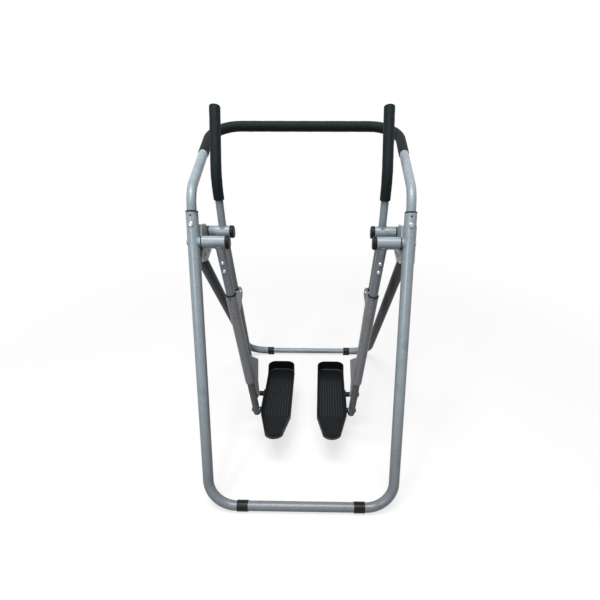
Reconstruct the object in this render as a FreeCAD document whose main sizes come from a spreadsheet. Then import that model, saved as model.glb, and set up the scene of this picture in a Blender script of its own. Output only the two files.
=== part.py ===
import FreeCAD, Part
import math
import os
import re
import Sketcher

# Folding air walker: two welded tube frames hinged together, and on each side two parallel arms
# that hang from hubs and carry a footplate between them.
# X runs across the machine, Y forward in the direction that the walker faces, Z up.
# The origin is on the floor, midway between the four feet. All lengths are millimetres, angles degrees.

SIZES = {
    # Floor frames
    "frame_width": 673,
    "rail_spacing": 1045,
    "frame_tube": 38,
    "frame_wall": 1.5,
    "floor_bend": 100,
    "rear_lean": 23.2,
    "rear_leg": 1010,
    "rail_tube": 28,
    "rail_wall": 1.5,
    "rail_overlap": 20,
    # Feet
    "foot_lift": 4,
    "strap_wall": 2.5,
    "rear_foot_length": 40,
    "front_foot_length": 33,
    "foot_sole": 18,
    "foot_spigot": 5,
    "foot_from_leg": 122.5,
    # Collars in the tops of the rear legs, and the handlebar in them
    "collar_rim": 38.5,
    "collar_lip": 4.5,
    "collar_depth": 26,
    "bar_tube": 30,
    "bar_wall": 1.5,
    "bar_overlap": 74,
    "bar_rise": 61,
    "bar_reach": 427,
    "bar_pitch": 17.6,
    "bar_bend": 100,
    "bar_corner": 105,
    "bar_foam": 34,
    "bar_foam_start": 226,
    "bar_bolt": 8,
    "bar_bolt_drop": 36,
    "spare_hole": 6,
    "spare_hole_drop": 10.5,
    # Hinge brackets
    "bracket_inside": 42,
    "bracket_sheet": 3,
    "bracket_rise": 44,
    "bracket_shoulder": 72,
    "bracket_shoulder_rise": 36,
    "bracket_end_rise": 18,
    "bracket_nose": 22,
    "bracket_toe": 3,
    "bracket_toe_drop": 62,
    "bracket_belly": 44,
    "bracket_belly_drop": 74,
    "bracket_drop": 60,
    "bracket_start": 13,
    "bracket_web": 24.5,
    "bracket_nut_room": 1.5,
    "pivot_ahead": 34,
    "pivot_below": 49,
    "pivot_bolt": 10,
    "pin_clearance": 0.05,
    "front_leg_over": 16,
    "stop_along": 22,
    "stop_roller": 16,
    "rest_gap": 0.3,
    "washer_size": 28,
    "plug_lip": 3,
    "plug_depth": 12,
    # Hubs and axles
    "hub_up_leg": 923,
    "hub_spacing": 105,
    "hub_tube": 38,
    "hub_bore": 30,
    "rear_hub_length": 72,
    "front_hub_length": 68,
    "axle_size": 20,
    "axle_boss": 1,
    "axle_boss_size": 28,
    "axle_tap": 8,
    "axle_tap_depth": 20,
    "bush_flange": 3,
    "bush_depth": 20,
    "end_washer": 2,
    "end_washer_size": 28,
    "screw_head": 4,
    "screw_head_size": 16,
    "cap_size": 40,
    "cap_wall": 2.5,
    "cap_round": 4,
    "cap_room": 2,
    "cap_gap": 0.5,
    # Arms
    "arm_drop": 695.5,
    "rear_arm_inset": 51.7,
    "front_arm_inset": 44.2,
    "rear_tilt": 4.8,
    "front_tilt": 3.7,
    "upper_tube": 30,
    "upper_wall": 1.5,
    "rear_reach": 180,
    "front_reach": 206,
    "upper_overlap": 60,
    "arm_collar": 38.5,
    "arm_collar_lip": 4,
    "lower_tube": 37,
    "lower_wall": 1.5,
    "lower_reach": 552,
    "lower_mouth": 6,
    "lower_ring": 12,
    "foot_tube": 28,
    "foot_tube_wall": 2,
    "foot_tube_overlap": 90,
    "foot_tail": 23.5,
    "foot_round": 5,
    "arm_hole": 6,
    "arm_hole_below": 8,
    "arm_bolt": 6,
    "arm_bolt_high": 62,
    "arm_bolt_low": 90,
    "boss_size": 22,
    "rear_boss_in": 15.5,
    "front_boss_in": 25,
    "boss_out": 15,
    # Plates welded to the inner side of the front arms
    "plate_sheet": 3,
    "upper_plate_rise": 15,
    "upper_plate_height": 95,
    "upper_plate_reach": 31.5,
    "plate_hole": 6,
    "lower_plate_top": 497,
    "lower_plate_reach": 45,
    "lower_plate_waist": 29,
    "lower_plate_waist_below": 120,
    # Swing handles
    "handle_tube": 25.4,
    "handle_wall": 1.5,
    "handle_straight": 165,
    "handle_top": 200,
    "handle_bend": 150,
    "handle_lean": 30,
    "handle_foam": 34,
    "handle_foam_start": 100,
    "handle_foam_end": 4,
    # Footplates
    "pedal_gap": 7.6,
    "plate_width": 121,
    "plate_length": 465,
    "plate_heel": 152,
    "plate_drop": 22,
    "plate_base": 4,
    "plate_wall": 3,
    "plate_rim": 26,
    "toe_rim": 51,
    "toe_corner": 34,
    "toe_ramp": 35,
    "heel_taper": 124,
    "heel_half": 35,
    "heel_rise": 20,
    "heel_radius": 42,
    "rib_width": 3,
    "rib_height": 1.8,
    "rib_length": 250,
    "rib_start": 130,
    "rib_count": 9,
    "rib_span": 88,
    "carrier_sheet": 3,
    "carrier_width": 70,
    "carrier_length": 140,
    "carrier_ear": 11,
    "pedal_pin": 12,
    "pedal_pin_collar": 22,
    "open_pin_clearance": 0.4,
    "pin_nut": 16,
    "pin_nut_height": 3.5,
    "pedal_screw": 5,
    "pedal_screw_head": 10,
    "pedal_screw_side": 22,
    "pedal_screw_span": 100,
}

# Places that follow from the sizes.
PLACES = {
    "rail_height": "frame_tube / 2 + foot_lift",
    "rear_rail": "-rail_spacing / 2",
    "leg_side": "frame_width / 2",
    "hub_forward": "rear_rail + hub_up_leg * sin(rear_lean)",
    "hub_height": "rail_height + hub_up_leg * cos(rear_lean)",
    "front_hub_forward": "hub_forward + hub_spacing",
    "pivot_forward": "hub_forward + pivot_ahead",
    "pivot_height": "hub_height - pivot_below",
    "front_run": "rail_spacing / 2 - pivot_forward",
    "front_rise": "pivot_height - rail_height",
    "front_span": "sqrt(front_run ^ 2 + front_rise ^ 2)",
    "front_lean": "atan(front_run / front_rise) / 1deg",
    "stop_out": "frame_tube / 2 + stop_roller / 2 + rest_gap",
    "stop_ahead": "pivot_ahead + stop_along * sin(front_lean) + stop_out * cos(front_lean)",
    "stop_below": "pivot_below + stop_along * cos(front_lean) - stop_out * sin(front_lean)",
    "foot_side": "leg_side - foot_from_leg",
    "rail_joint": "foot_side + front_foot_length / 2",
    "bracket_half": "bracket_inside / 2 + bracket_sheet",
    "bracket_face": "leg_side - bracket_half",
    "shoulder_side": "bracket_face - axle_boss",
    "hub_outer": "shoulder_side - rest_gap - bush_flange",
    "rear_hub_inner": "hub_outer - rear_hub_length",
    "front_hub_inner": "hub_outer - front_hub_length",
    "rear_arm_side": "hub_outer - rear_arm_inset",
    "front_arm_side": "hub_outer - front_arm_inset",
    "rear_foot_side": "rear_arm_side - arm_drop * tan(rear_tilt)",
    "front_foot_side": "front_arm_side - arm_drop * tan(front_tilt)",
    "pin_height": "hub_height - arm_drop",
    "plate_under": "pin_height - plate_drop",
    "ear_side": "rear_foot_side - rear_boss_in - pedal_gap",
    "plate_side": "ear_side - plate_width / 2",
}

ACROSS = FreeCAD.Vector(1, 0, 0)
FORWARD = FreeCAD.Vector(0, 1, 0)
UP = FreeCAD.Vector(0, 0, 1)
SIDES = (("left", -1), ("right", 1))

doc = FreeCAD.newDocument("AirWalker")
sheet = doc.addObject("Spreadsheet::Sheet", "Sizes")
for row, (word, number) in enumerate(SIZES.items(), start=1):
    sheet.set(f"A{row}", word)
    sheet.set(f"B{row}", str(number))
    sheet.setAlias(f"B{row}", word)
doc.recompute()


def formula(text):
    """Turn the size and place names in a formula into references to the sheet and the layout."""
    def link(match):
        word = match.group(0)
        if word in SIZES:
            return "Sizes." + word
        if word in PLACES:
            return "Layout." + word
        return word
    return re.sub(r"[a-z]+(?:_[a-z]+)*", link, text)


layout = doc.addObject("App::VarSet", "Layout")
for word in PLACES:
    layout.addProperty("App::PropertyFloat", word)
for word, text in PLACES.items():
    layout.setExpression(word, formula(text).replace("Layout.", ""))
doc.recompute()


def size(word):
    """Read a size from the sheet, or a place from the layout."""
    return float(getattr(layout if word in PLACES else sheet, word))


def bind(piece, **formulas):
    for name, text in formulas.items():
        piece.setExpression(name, formula(text))


def place(piece, x="0", y="0", z="0", axis=None, turn=None):
    """Put a piece at a point given by formulas, turned by an angle about one axis."""
    if axis is not None:
        piece.Placement = FreeCAD.Placement(FreeCAD.Vector(), FreeCAD.Rotation(axis, 1))
        piece.setExpression("Placement.Rotation.Angle", formula(turn))
    for letter, text in (("x", x), ("y", y), ("z", z)):
        if text != "0":
            piece.setExpression("Placement.Base." + letter, formula(text))
    return piece


def label(piece, name):
    piece.Label = name
    nodes.append(piece)
    return piece


def new_body(name):
    return doc.addObject("PartDesign::Body", name)


def new_sketch(body, plane, shift=None):
    """Start a sketch on one of the body's own planes, shifted along the plane's normal."""
    sketch = body.newObject("Sketcher::SketchObject", body.Name + "_sketch")
    origin_plane = [item for item in body.Origin.OriginFeatures if item.Role == plane][0]
    sketch.AttachmentSupport = [(origin_plane, "")]
    sketch.MapMode = "FlatFace"
    if shift:
        sketch.setExpression("AttachmentOffset.Base.z", formula(shift))
    return sketch


def pin_point(sketch, edge, end, x, y):
    """Fix one end of an edge at the place that two formulas give."""
    spot = sketch.getPoint(edge, end)
    for kind, text, guess, zero_line in (("DistanceX", x, spot.x, -2), ("DistanceY", y, spot.y, -1)):
        if text == "0":
            sketch.addConstraint(Sketcher.Constraint("PointOnObject", edge, end, zero_line))
        else:
            index = sketch.addConstraint(Sketcher.Constraint(kind, -1, 1, edge, end, guess or 1.0))
            sketch.setExpression(f"Constraints[{index}]", formula(text))


def polygon(sketch, corners):
    """Draw a closed outline through corners given as pairs of formulas."""
    first = sketch.GeometryCount
    count = len(corners)
    for step in range(count):
        here = FreeCAD.Vector(step + 1, step * step, 0)
        there = FreeCAD.Vector(step + 2, (step + 1) ** 2, 0)
        sketch.addGeometry(Part.LineSegment(here, there), False)
    for step in range(count):
        after = first + (step + 1) % count
        sketch.addConstraint(Sketcher.Constraint("Coincident", first + step, 2, after, 1))
    for step, (x, y) in enumerate(corners):
        pin_point(sketch, first + step, 1, x, y)


def circle(sketch, radius, x="0", y="0"):
    edge = sketch.addGeometry(Part.Circle(FreeCAD.Vector(), UP, 1.0 + sketch.GeometryCount), False)
    index = sketch.addConstraint(Sketcher.Constraint("Radius", edge, 1.0 + edge))
    sketch.setExpression(f"Constraints[{index}]", formula(radius))
    if x == "0" and y == "0":
        sketch.addConstraint(Sketcher.Constraint("Coincident", edge, 3, -1, 1))
    else:
        pin_point(sketch, edge, 3, x, y)


def feature(body, kind, sketch, **formulas):
    item = body.newObject("PartDesign::" + kind, body.Name + "_" + kind.lower())
    item.Profile = sketch
    bind(item, **formulas)
    body.Tip = item
    return item


def turned(name, profile):
    """Revolve a profile of radius and height formulas about the body's own Z axis."""
    body = new_body(name)
    sketch = new_sketch(body, "XZ_Plane")
    polygon(sketch, profile)
    spin = body.newObject("PartDesign::Revolution", name + "_turn")
    spin.Profile = sketch
    spin.ReferenceAxis = (sketch, ["V_Axis"])
    spin.Angle = 360
    body.Tip = spin
    return body


def drill(body, plane, radius, x="0", y="0"):
    """Cut a round hole right through the body, both ways from one of its planes."""
    sketch = new_sketch(body, plane)
    circle(sketch, radius, x, y)
    hole = feature(body, "Pocket", sketch)
    hole.Type = "ThroughAll"
    hole.Midplane = True
    return hole


def rod(name, radius, length):
    piece = doc.addObject("Part::Cylinder", name)
    bind(piece, Radius=radius, Height=length)
    return piece


def cut(name, base, tool):
    piece = doc.addObject("Part::Cut", name)
    piece.Base = base
    piece.Tool = tool
    return piece


def fuse(name, pieces):
    piece = doc.addObject("Part::MultiFuse", name)
    piece.Shapes = pieces
    return piece


def group(name, pieces):
    """Keep identical pieces together in one node as separate solids."""
    piece = doc.addObject("Part::Compound", name)
    piece.Links = pieces
    return piece


nodes = []


def path_sketch(body, plane, corners, bends):
    """Draw an open path of straight runs joined by tangent arcs.

    corners holds the run ends as number pairs for the start of the solve and as formula pairs."""
    sketch = new_sketch(body, plane)
    for start, end in corners:
        sketch.addGeometry(Part.LineSegment(FreeCAD.Vector(*start[0]), FreeCAD.Vector(*end[0])), False)
    runs = len(corners)
    for step in range(runs - 1):
        before = FreeCAD.Vector(*corners[step][1][0])
        after = FreeCAD.Vector(*corners[step + 1][0][0])
        middle = FreeCAD.Vector(*bends[step])
        sketch.addGeometry(Part.Arc(before, middle, after), False)
    for step, (start, end) in enumerate(corners):
        pin_point(sketch, step, 1, *start[1])
        pin_point(sketch, step, 2, *end[1])
    for step in range(runs - 1):
        arc = runs + step
        first_end = FreeCAD.Vector(*corners[step][1][0])
        arc_start = sketch.getPoint(arc, 1)
        near, far = (1, 2) if (arc_start - first_end).Length < 1e-3 else (2, 1)
        sketch.addConstraint(Sketcher.Constraint("Tangent", step, 2, arc, near))
        sketch.addConstraint(Sketcher.Constraint("Coincident", arc, far, step + 1, 1))
    return sketch


def frame_pipe(name, runs, bends, leg, x):
    """Bend one piece of the frame's tube in the body's XZ plane, from the top of the leg at x."""
    body = new_body(name)
    path = path_sketch(body, "XZ_Plane", runs, bends)
    ring = new_sketch(body, "XY_Plane", leg)
    circle(ring, "frame_tube / 2", x)
    circle(ring, "frame_tube / 2 - frame_wall", x)
    pipe = body.newObject("PartDesign::AdditivePipe", name + "_pipe")
    pipe.Profile = ring
    pipe.Spine = (path, [])
    body.Tip = pipe
    return body


def leg_run(sign, leg):
    """Straight run of a leg from its top down to its bend, as numbers and as formulas."""
    side = sign * size("leg_side")
    bend = size("floor_bend")
    x = f"{sign} * leg_side"
    return ((side, 2 * bend, 0), (x, leg)), ((side, bend, 0), (x, "floor_bend"))


def floor_loop(name, leg):
    """Bend one tube into a U: two legs and the rail that joins them."""
    side = size("leg_side")
    bend = size("floor_bend")
    sag = bend * (1 - math.sqrt(0.5))
    rail = (((bend - side, 0, 0), ("floor_bend - leg_side", "0")),
            ((side - bend, 0, 0), ("leg_side - floor_bend", "0")))
    runs = (leg_run(-1, leg), rail, leg_run(1, leg)[::-1])
    return frame_pipe(name, runs, ((sag - side, sag, 0), (side - sag, sag, 0)), leg, "-leg_side")


def bent_leg(name, sign, leg):
    """Bend one leg alone: down, round its bend and on to the joint with the rail."""
    side = size("leg_side")
    bend = size("floor_bend")
    sag = bend * (1 - math.sqrt(0.5))
    stub = (((sign * (side - bend), 0, 0), (f"{sign} * (leg_side - floor_bend)", "0")),
            ((sign * size("rail_joint"), 0, 0), (f"{sign} * rail_joint", "0")))
    runs = (leg_run(sign, leg), stub)
    return frame_pipe(name, runs, ((sign * (side - sag), sag, 0),), leg, f"{sign} * leg_side")


def rail_foot(name, sign, rail, length, outer, bore):
    """Moulded foot: a strap round the floor rail with a flat sole under it."""
    strap = rod(name + "_strap", outer, length)
    place(strap, f"-{length} / 2", "0", "rail_height", FORWARD, "90")
    sole = doc.addObject("Part::Box", name + "_sole")
    bind(sole, Length=length, Width="foot_sole", Height="rail_height")
    place(sole, f"-{length} / 2", "-foot_sole / 2")
    solids = [strap, sole]
    if rail != "rear_rail":
        spigot = rod(name + "_spigot", "frame_tube / 2 - frame_wall", f"{length} / 2 + foot_spigot")
        place(spigot, "0", "0", "rail_height", FORWARD, f"{sign} * 90")
        solids.append(spigot)
    tube = rod(name + "_tube", bore, f"2 * {length}")
    place(tube, f"-{length}", "0", "rail_height", FORWARD, "90")
    foot = cut(name, fuse(name + "_solid", solids), tube)
    return place(foot, f"{sign} * foot_side", rail)


def round_bolt(name, radius, length, head, head_height):
    """Dome-headed bolt with its nut: the head's flat side at zero, the shank downwards."""
    return turned(name, (
        ("0", f"-({length})"),
        (radius, f"-({length})"),
        (radius, "0"),
        (head, "0"),
        (head, f"0.35 * ({head_height})"),
        (f"0.6 * ({head})", f"0.85 * ({head_height})"),
        ("0", head_height),
    ))


def nut(name, bore, outer, height):
    """Six-sided nut, its lower face at zero."""
    body = new_body(name)
    sketch = new_sketch(body, "XY_Plane")
    corners = []
    for step in range(6):
        corners.append((f"({outer}) * cos({60 * step + 7})", f"({outer}) * sin({60 * step + 7})"))
    polygon(sketch, corners)
    circle(sketch, bore)
    feature(body, "Pad", sketch, Length=height)
    return body


# Rear frame: floor rail and two legs from one bent tube, leaning forward.
rear_frame = floor_loop("rear_frame_tube", "rear_leg")
drill(rear_frame, "YZ_Plane", "axle_size / 2", "0", "hub_up_leg")
for word, sign in SIDES:
    drill(rear_frame, "XZ_Plane", "bar_bolt / 2", f"{sign} * leg_side", "rear_leg - bar_bolt_drop")
    drill(rear_frame, "XZ_Plane", "spare_hole / 2", f"{sign} * leg_side", "rear_leg - spare_hole_drop")
place(rear_frame, "0", "rear_rail", "rail_height", ACROSS, "-rear_lean")
label(rear_frame, "rear_frame_tube")

# Black collars in the tops of the rear legs, and the bolts that hold the handlebar there.
LEAN_Y = "(rear_rail + ({}) * sin(rear_lean))"
LEAN_Z = "(rail_height + ({}) * cos(rear_lean))"
collars = []
bolts = []
for word, sign in SIDES:
    collar = turned(word + "_collar_ring", (
        ("bar_tube / 2", "-collar_depth"),
        ("frame_tube / 2 - frame_wall", "-collar_depth"),
        ("frame_tube / 2 - frame_wall", "0"),
        ("collar_rim / 2", "0"),
        ("collar_rim / 2", "collar_lip - 1"),
        ("collar_rim / 2 - 1", "collar_lip"),
        ("bar_tube / 2", "collar_lip"),
    ))
    place(collar, f"{sign} * leg_side", LEAN_Y.format("rear_leg"), LEAN_Z.format("rear_leg"), ACROSS, "-rear_lean")
    collars.append(collar)
    bolt = round_bolt(word + "_bar_bolt", "bar_bolt / 2", "frame_tube + bar_bolt", "bar_bolt", "bar_bolt * 0.6")
    height = "rear_leg - bar_bolt_drop"
    out_y = LEAN_Y.format(height) + " - frame_tube / 2 * cos(rear_lean)"
    out_z = LEAN_Z.format(height) + " + frame_tube / 2 * sin(rear_lean)"
    place(bolt, f"{sign} * leg_side", out_y, out_z, ACROSS, "90 - rear_lean")
    bolts.append(bolt)
    bar_nut = nut(word + "_bar_nut", "bar_bolt / 2", "bar_bolt * 0.9", "bar_bolt * 0.8")
    far_y = LEAN_Y.format(height) + " + frame_tube / 2 * cos(rear_lean)"
    far_z = LEAN_Z.format(height) + " - frame_tube / 2 * sin(rear_lean)"
    place(bar_nut, f"{sign} * leg_side", far_y, far_z, ACROSS, "-90 - rear_lean")
    bolts.append(bar_nut)
label(group("collar_rings", collars), "collar_rings")
label(group("handlebar_bolts", bolts), "handlebar_bolts")


def run_point(point, toward, length):
    return point + (toward - point).normalize() * length


def bent_wire(points, radii):
    """Join points by straight runs, each inner corner rounded by a tangent arc."""
    edges = []
    start = points[0]
    for before, corner, after, radius in zip(points, points[1:], points[2:], radii):
        half = ((corner - before).getAngle(after - corner)) / 2
        reach = radius * math.tan(half)
        first = run_point(corner, before, reach)
        last = run_point(corner, after, reach)
        middle = (first + last) / 2
        dip = radius / math.cos(half) - radius
        crown = run_point(corner, middle, dip)
        edges.append(Part.LineSegment(start, first).toShape())
        edges.append(Part.Arc(first, crown, last).toShape())
        start = last
    edges.append(Part.LineSegment(start, points[-1]).toShape())
    return Part.Wire(edges)


def tube_along(wire, start, toward, radii):
    """Sweep a ring of two radii along a wire that leaves its start towards a point."""
    rings = []
    for radius in radii:
        ring = Part.Wire([Part.Circle(start, toward - start, radius).toShape()])
        rings.append(wire.makePipeShell([ring], True, False))
    return rings[0].cut(rings[1])


def leg_point(sign, along, out=0.0, up=0.0):
    """Point above the rear leg: along the leg, then out and up along the handlebar's pitch."""
    lean = math.radians(size("rear_lean"))
    pitch = math.radians(size("bar_pitch"))
    forward = size("rear_rail") + along * math.sin(lean) + out * math.cos(pitch)
    height = size("rail_height") + along * math.cos(lean) + out * math.sin(pitch)
    return FreeCAD.Vector(sign * size("leg_side"), forward, height + up)


# Handlebar: one tube bent up out of the sockets, forward and across.
bar_start = size("rear_leg") - size("bar_overlap")
bar_knee = size("rear_leg") + size("bar_rise")
bar_points = [
    leg_point(-1, bar_start),
    leg_point(-1, bar_knee),
    leg_point(-1, bar_knee, size("bar_reach")),
    leg_point(1, bar_knee, size("bar_reach")),
    leg_point(1, bar_knee),
    leg_point(1, bar_start),
]
bar_radii = [size("bar_bend"), size("bar_corner"), size("bar_corner"), size("bar_bend")]
bar_wire = bent_wire(bar_points, bar_radii)
bar_outer = size("bar_tube") / 2
bar_shape = tube_along(bar_wire, bar_points[0], bar_points[1], (bar_outer, bar_outer - size("bar_wall")))
lean_radians = math.radians(size("rear_lean"))
bolt_way = FreeCAD.Vector(0, math.cos(lean_radians), -math.sin(lean_radians))
for word, sign in SIDES:
    middle = leg_point(sign, size("rear_leg") - size("bar_bolt_drop"))
    drill_start = middle - bolt_way * size("bar_tube")
    hole = Part.makeCylinder(size("bar_bolt") / 2, 2 * size("bar_tube"), drill_start, bolt_way)
    bar_shape = bar_shape.cut(hole)
handlebar = doc.addObject("Part::Feature", "handlebar_tube")
handlebar.Shape = bar_shape
label(handlebar, "handlebar_tube")

# Foam sleeve over the crossbar and both of its corners.
foam_points = [
    leg_point(-1, bar_knee, size("bar_foam_start")),
    bar_points[2],
    bar_points[3],
    leg_point(1, bar_knee, size("bar_foam_start")),
]
foam_wire = bent_wire(foam_points, bar_radii[1:3])
foam = doc.addObject("Part::Feature", "handlebar_foam")
foam.Shape = tube_along(foam_wire, foam_points[0], foam_points[1], (size("bar_foam") / 2, bar_outer))
label(foam, "handlebar_foam")

# Hinge brackets: folded sheet channels whose webs are welded along the front of the rear legs.
# Each holds the front hub's axle, the bolt on which the front leg folds, and the stop that the
# open front leg leans on.
for word, sign in SIDES:
    name = word + "_hinge_bracket"
    channel = new_body(word + "_channel")
    sketch = new_sketch(channel, "YZ_Plane")
    start = "bracket_start / cos(rear_lean)"
    polygon(sketch, (
        (f"bracket_rise * tan(rear_lean) + {start}", "bracket_rise"),
        ("bracket_shoulder", "bracket_shoulder_rise"),
        ("hub_spacing", "bracket_end_rise"),
        ("hub_spacing + bracket_nose", "0"),
        ("hub_spacing + bracket_toe", "-bracket_toe_drop"),
        ("bracket_belly", "-bracket_belly_drop"),
        (f"-bracket_drop * tan(rear_lean) + {start}", "-bracket_drop"),
    ))
    pad = feature(channel, "Pad", sketch, Length="2 * bracket_half")
    pad.Midplane = True
    gap = new_sketch(channel, "YZ_Plane")
    web = "bracket_web / cos(rear_lean)"
    polygon(gap, (
        (f"2 * bracket_rise * tan(rear_lean) + {web}", "2 * bracket_rise"),
        ("hub_spacing + 2 * bracket_nose", "2 * bracket_rise"),
        ("hub_spacing + 2 * bracket_nose", "-2 * bracket_drop"),
        (f"-2 * bracket_drop * tan(rear_lean) + {web}", "-2 * bracket_drop"),
    ))
    pocket = feature(channel, "Pocket", gap, Length="bracket_inside")
    pocket.Midplane = True
    drill(channel, "YZ_Plane", "axle_boss_size / 2")
    drill(channel, "YZ_Plane", "axle_size / 2", "hub_spacing")
    drill(channel, "YZ_Plane", "pivot_bolt / 2", "pivot_ahead", "-pivot_below")
    drill(channel, "YZ_Plane", "pivot_bolt / 2", "stop_ahead", "-stop_below")
    leg = rod(word + "_leg_core", "frame_tube / 2", "4 * bracket_drop")
    low = "2 * bracket_drop"
    place(leg, "0", f"-({low}) * sin(rear_lean)", f"-({low}) * cos(rear_lean)", ACROSS, "-rear_lean")
    # The web has a round hole that clears the handlebar bolt's nut.
    nut_way = rod(word + "_nut_way", "bar_bolt * 0.9 + bracket_nut_room", "2 * frame_tube")
    nut_along = "(rear_leg - bar_bolt_drop - hub_up_leg)"
    place(nut_way, "0", f"{nut_along} * sin(rear_lean)", f"{nut_along} * cos(rear_lean)", ACROSS, "-90 - rear_lean")
    bracket = cut(name, channel, fuse(word + "_bracket_cores", [leg, nut_way]))
    place(bracket, f"{sign} * leg_side", "hub_forward", "hub_height")
    label(bracket, name)

# Axles, welded through the legs at the rear and through the brackets at the front, each with a
# shoulder that its hub turns against.
for row, forward, far_end, shoulder_end in (
    ("rear", "hub_forward", "leg_side + frame_tube / 2 + axle_boss", "leg_side - frame_tube / 4"),
    ("front", "front_hub_forward", "leg_side + bracket_half", "bracket_face"),
):
    shafts = []
    for word, sign in SIDES:
        inner = f"({row}_hub_inner - bush_flange - rest_gap)"
        shaft = turned(f"{word}_{row}_shaft", (
            ("axle_tap / 2", "0"),
            ("axle_size / 2", "0"),
            ("axle_size / 2", f"{far_end} - {inner}"),
            ("0", f"{far_end} - {inner}"),
            ("0", "axle_tap_depth"),
            ("axle_tap / 2", "axle_tap_depth"),
        ))
        place(shaft, f"{sign} * {inner}", forward, "hub_height", FORWARD, f"{sign} * 90")
        shoulder = rod(f"{word}_{row}_shoulder", "axle_boss_size / 2", f"{shoulder_end} - shoulder_side")
        place(shoulder, f"{sign} * shoulder_side", forward, "hub_height", FORWARD, f"{sign} * 90")
        if row == "rear":
            leg = rod(word + "_shoulder_leg", "frame_tube / 2", "4 * frame_tube")
            low = "2 * frame_tube"
            place(leg, f"{sign} * leg_side", f"hub_forward - {low} * sin(rear_lean)",
                  f"hub_height - {low} * cos(rear_lean)", ACROSS, "-rear_lean")
            shoulder = cut(word + "_saddled_shoulder", shoulder, leg)
        shafts.append(fuse(f"{word}_{row}_axle", [shaft, shoulder]))
    label(group(row + "_axles", shafts), row + "_axles")

# Screws with washers that keep the hubs on their axles.
screws = []
for row, forward in (("rear", "hub_forward"), ("front", "front_hub_forward")):
    for word, sign in SIDES:
        screw = turned(word + "_axle_screw", (
            ("0", "-end_washer - screw_head"),
            ("screw_head_size / 2", "-end_washer - screw_head"),
            ("screw_head_size / 2", "-end_washer"),
            ("end_washer_size / 2", "-end_washer"),
            ("end_washer_size / 2", "0"),
            ("axle_tap / 2", "0"),
            ("axle_tap / 2", "axle_tap_depth - 1"),
            ("0", "axle_tap_depth - 1"),
        ))
        place(screw, f"{sign} * ({row}_hub_inner - bush_flange - rest_gap)", forward, "hub_height",
              FORWARD, f"{sign} * 90")
        screws.append(screw)
label(group("axle_screws", screws), "axle_screws")

# Bolts across the brackets: the fold pivots and the stops, and the black rollers on the stops.
bracket_bolts = []
rollers = []
for word, sign in SIDES:
    for ahead, below in (("pivot_ahead", "pivot_below"), ("stop_ahead", "stop_below")):
        bolt = round_bolt(word + "_bracket_bolt", "pivot_bolt / 2", "2 * bracket_half + pivot_bolt * 0.4",
                          "pivot_bolt * 0.8", "pivot_bolt * 0.4")
        place(bolt, f"{sign} * bracket_face", f"hub_forward + {ahead}",
              f"hub_height - {below}", FORWARD, f"-{sign} * 90")
        bracket_bolts.append(bolt)
        fold_nut = nut(word + "_bracket_nut", "pivot_bolt / 2", "pivot_bolt * 0.9", "pivot_bolt * 0.35")
        place(fold_nut, f"{sign} * (leg_side + bracket_half)", f"hub_forward + {ahead}",
              f"hub_height - {below}", FORWARD, f"{sign} * 90")
        bracket_bolts.append(fold_nut)
    roller = turned(word + "_stop_roller", (
        ("pivot_bolt / 2", "-bracket_inside / 2"),
        ("stop_roller / 2", "-bracket_inside / 2"),
        ("stop_roller / 2", "bracket_inside / 2"),
        ("pivot_bolt / 2", "bracket_inside / 2"),
    ))
    place(roller, f"{sign} * leg_side", "hub_forward + stop_ahead", "hub_height - stop_below", FORWARD, "90")
    rollers.append(roller)
label(group("bracket_bolts", bracket_bolts), "bracket_bolts")
label(group("stop_rollers", rollers), "stop_rollers")

# Front frame: two bent legs, hinged on the bracket bolts, and a thinner rail that joins them.
front_leg = "front_span + front_leg_over"
front_legs = []
plugs = []
washers = []
for word, sign in SIDES:
    leg = bent_leg(word + "_front_leg", sign, front_leg)
    drill(leg, "YZ_Plane", "pivot_bolt / 2 + pin_clearance", "0", "front_span")
    place(leg, "0", "-rear_rail", "rail_height", ACROSS, "front_lean")
    front_legs.append(leg)
    plug = turned(word + "_leg_plug", (
        ("0", "-plug_depth"),
        ("frame_tube / 2 - frame_wall", "-plug_depth"),
        ("frame_tube / 2 - frame_wall", "0"),
        ("frame_tube / 2", "0"),
        ("frame_tube / 2", "plug_lip / 2"),
        ("frame_tube / 2 - plug_lip / 2", "plug_lip"),
        ("0", "plug_lip"),
    ))
    drill(plug, "YZ_Plane", "pivot_bolt / 2 + 2 * pin_clearance", "0", "-front_leg_over")
    top = f"({front_leg})"
    place(plug, f"{sign} * leg_side", f"-rear_rail - {top} * sin(front_lean)",
          f"rail_height + {top} * cos(front_lean)", ACROSS, "front_lean")
    plugs.append(plug)
    for face in (-1, 1):
        washer = turned(word + "_fold_washer", (
            ("pivot_bolt / 2 + pin_clearance", "frame_tube / 2"),
            ("washer_size / 2", "frame_tube / 2"),
            ("washer_size / 2", "bracket_inside / 2 - rest_gap"),
            ("pivot_bolt / 2 + pin_clearance", "bracket_inside / 2 - rest_gap"),
        ))
        place(washer, f"{sign} * leg_side", "pivot_forward", "pivot_height", FORWARD, f"{face} * 90")
        washers.append(washer)
label(group("front_frame_tube", front_legs), "front_frame_tube")
label(group("leg_plugs", plugs), "leg_plugs")
label(group("fold_washers", washers), "fold_washers")
rail_half = "(rail_joint + rail_overlap)"
front_rail = turned("front_rail_tube", (
    ("rail_tube / 2 - rail_wall", f"-{rail_half}"),
    ("rail_tube / 2", f"-{rail_half}"),
    ("rail_tube / 2", rail_half),
    ("rail_tube / 2 - rail_wall", rail_half),
))
place(front_rail, "0", "-rear_rail", "rail_height", FORWARD, "90")
label(front_rail, "front_rail_tube")

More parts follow.
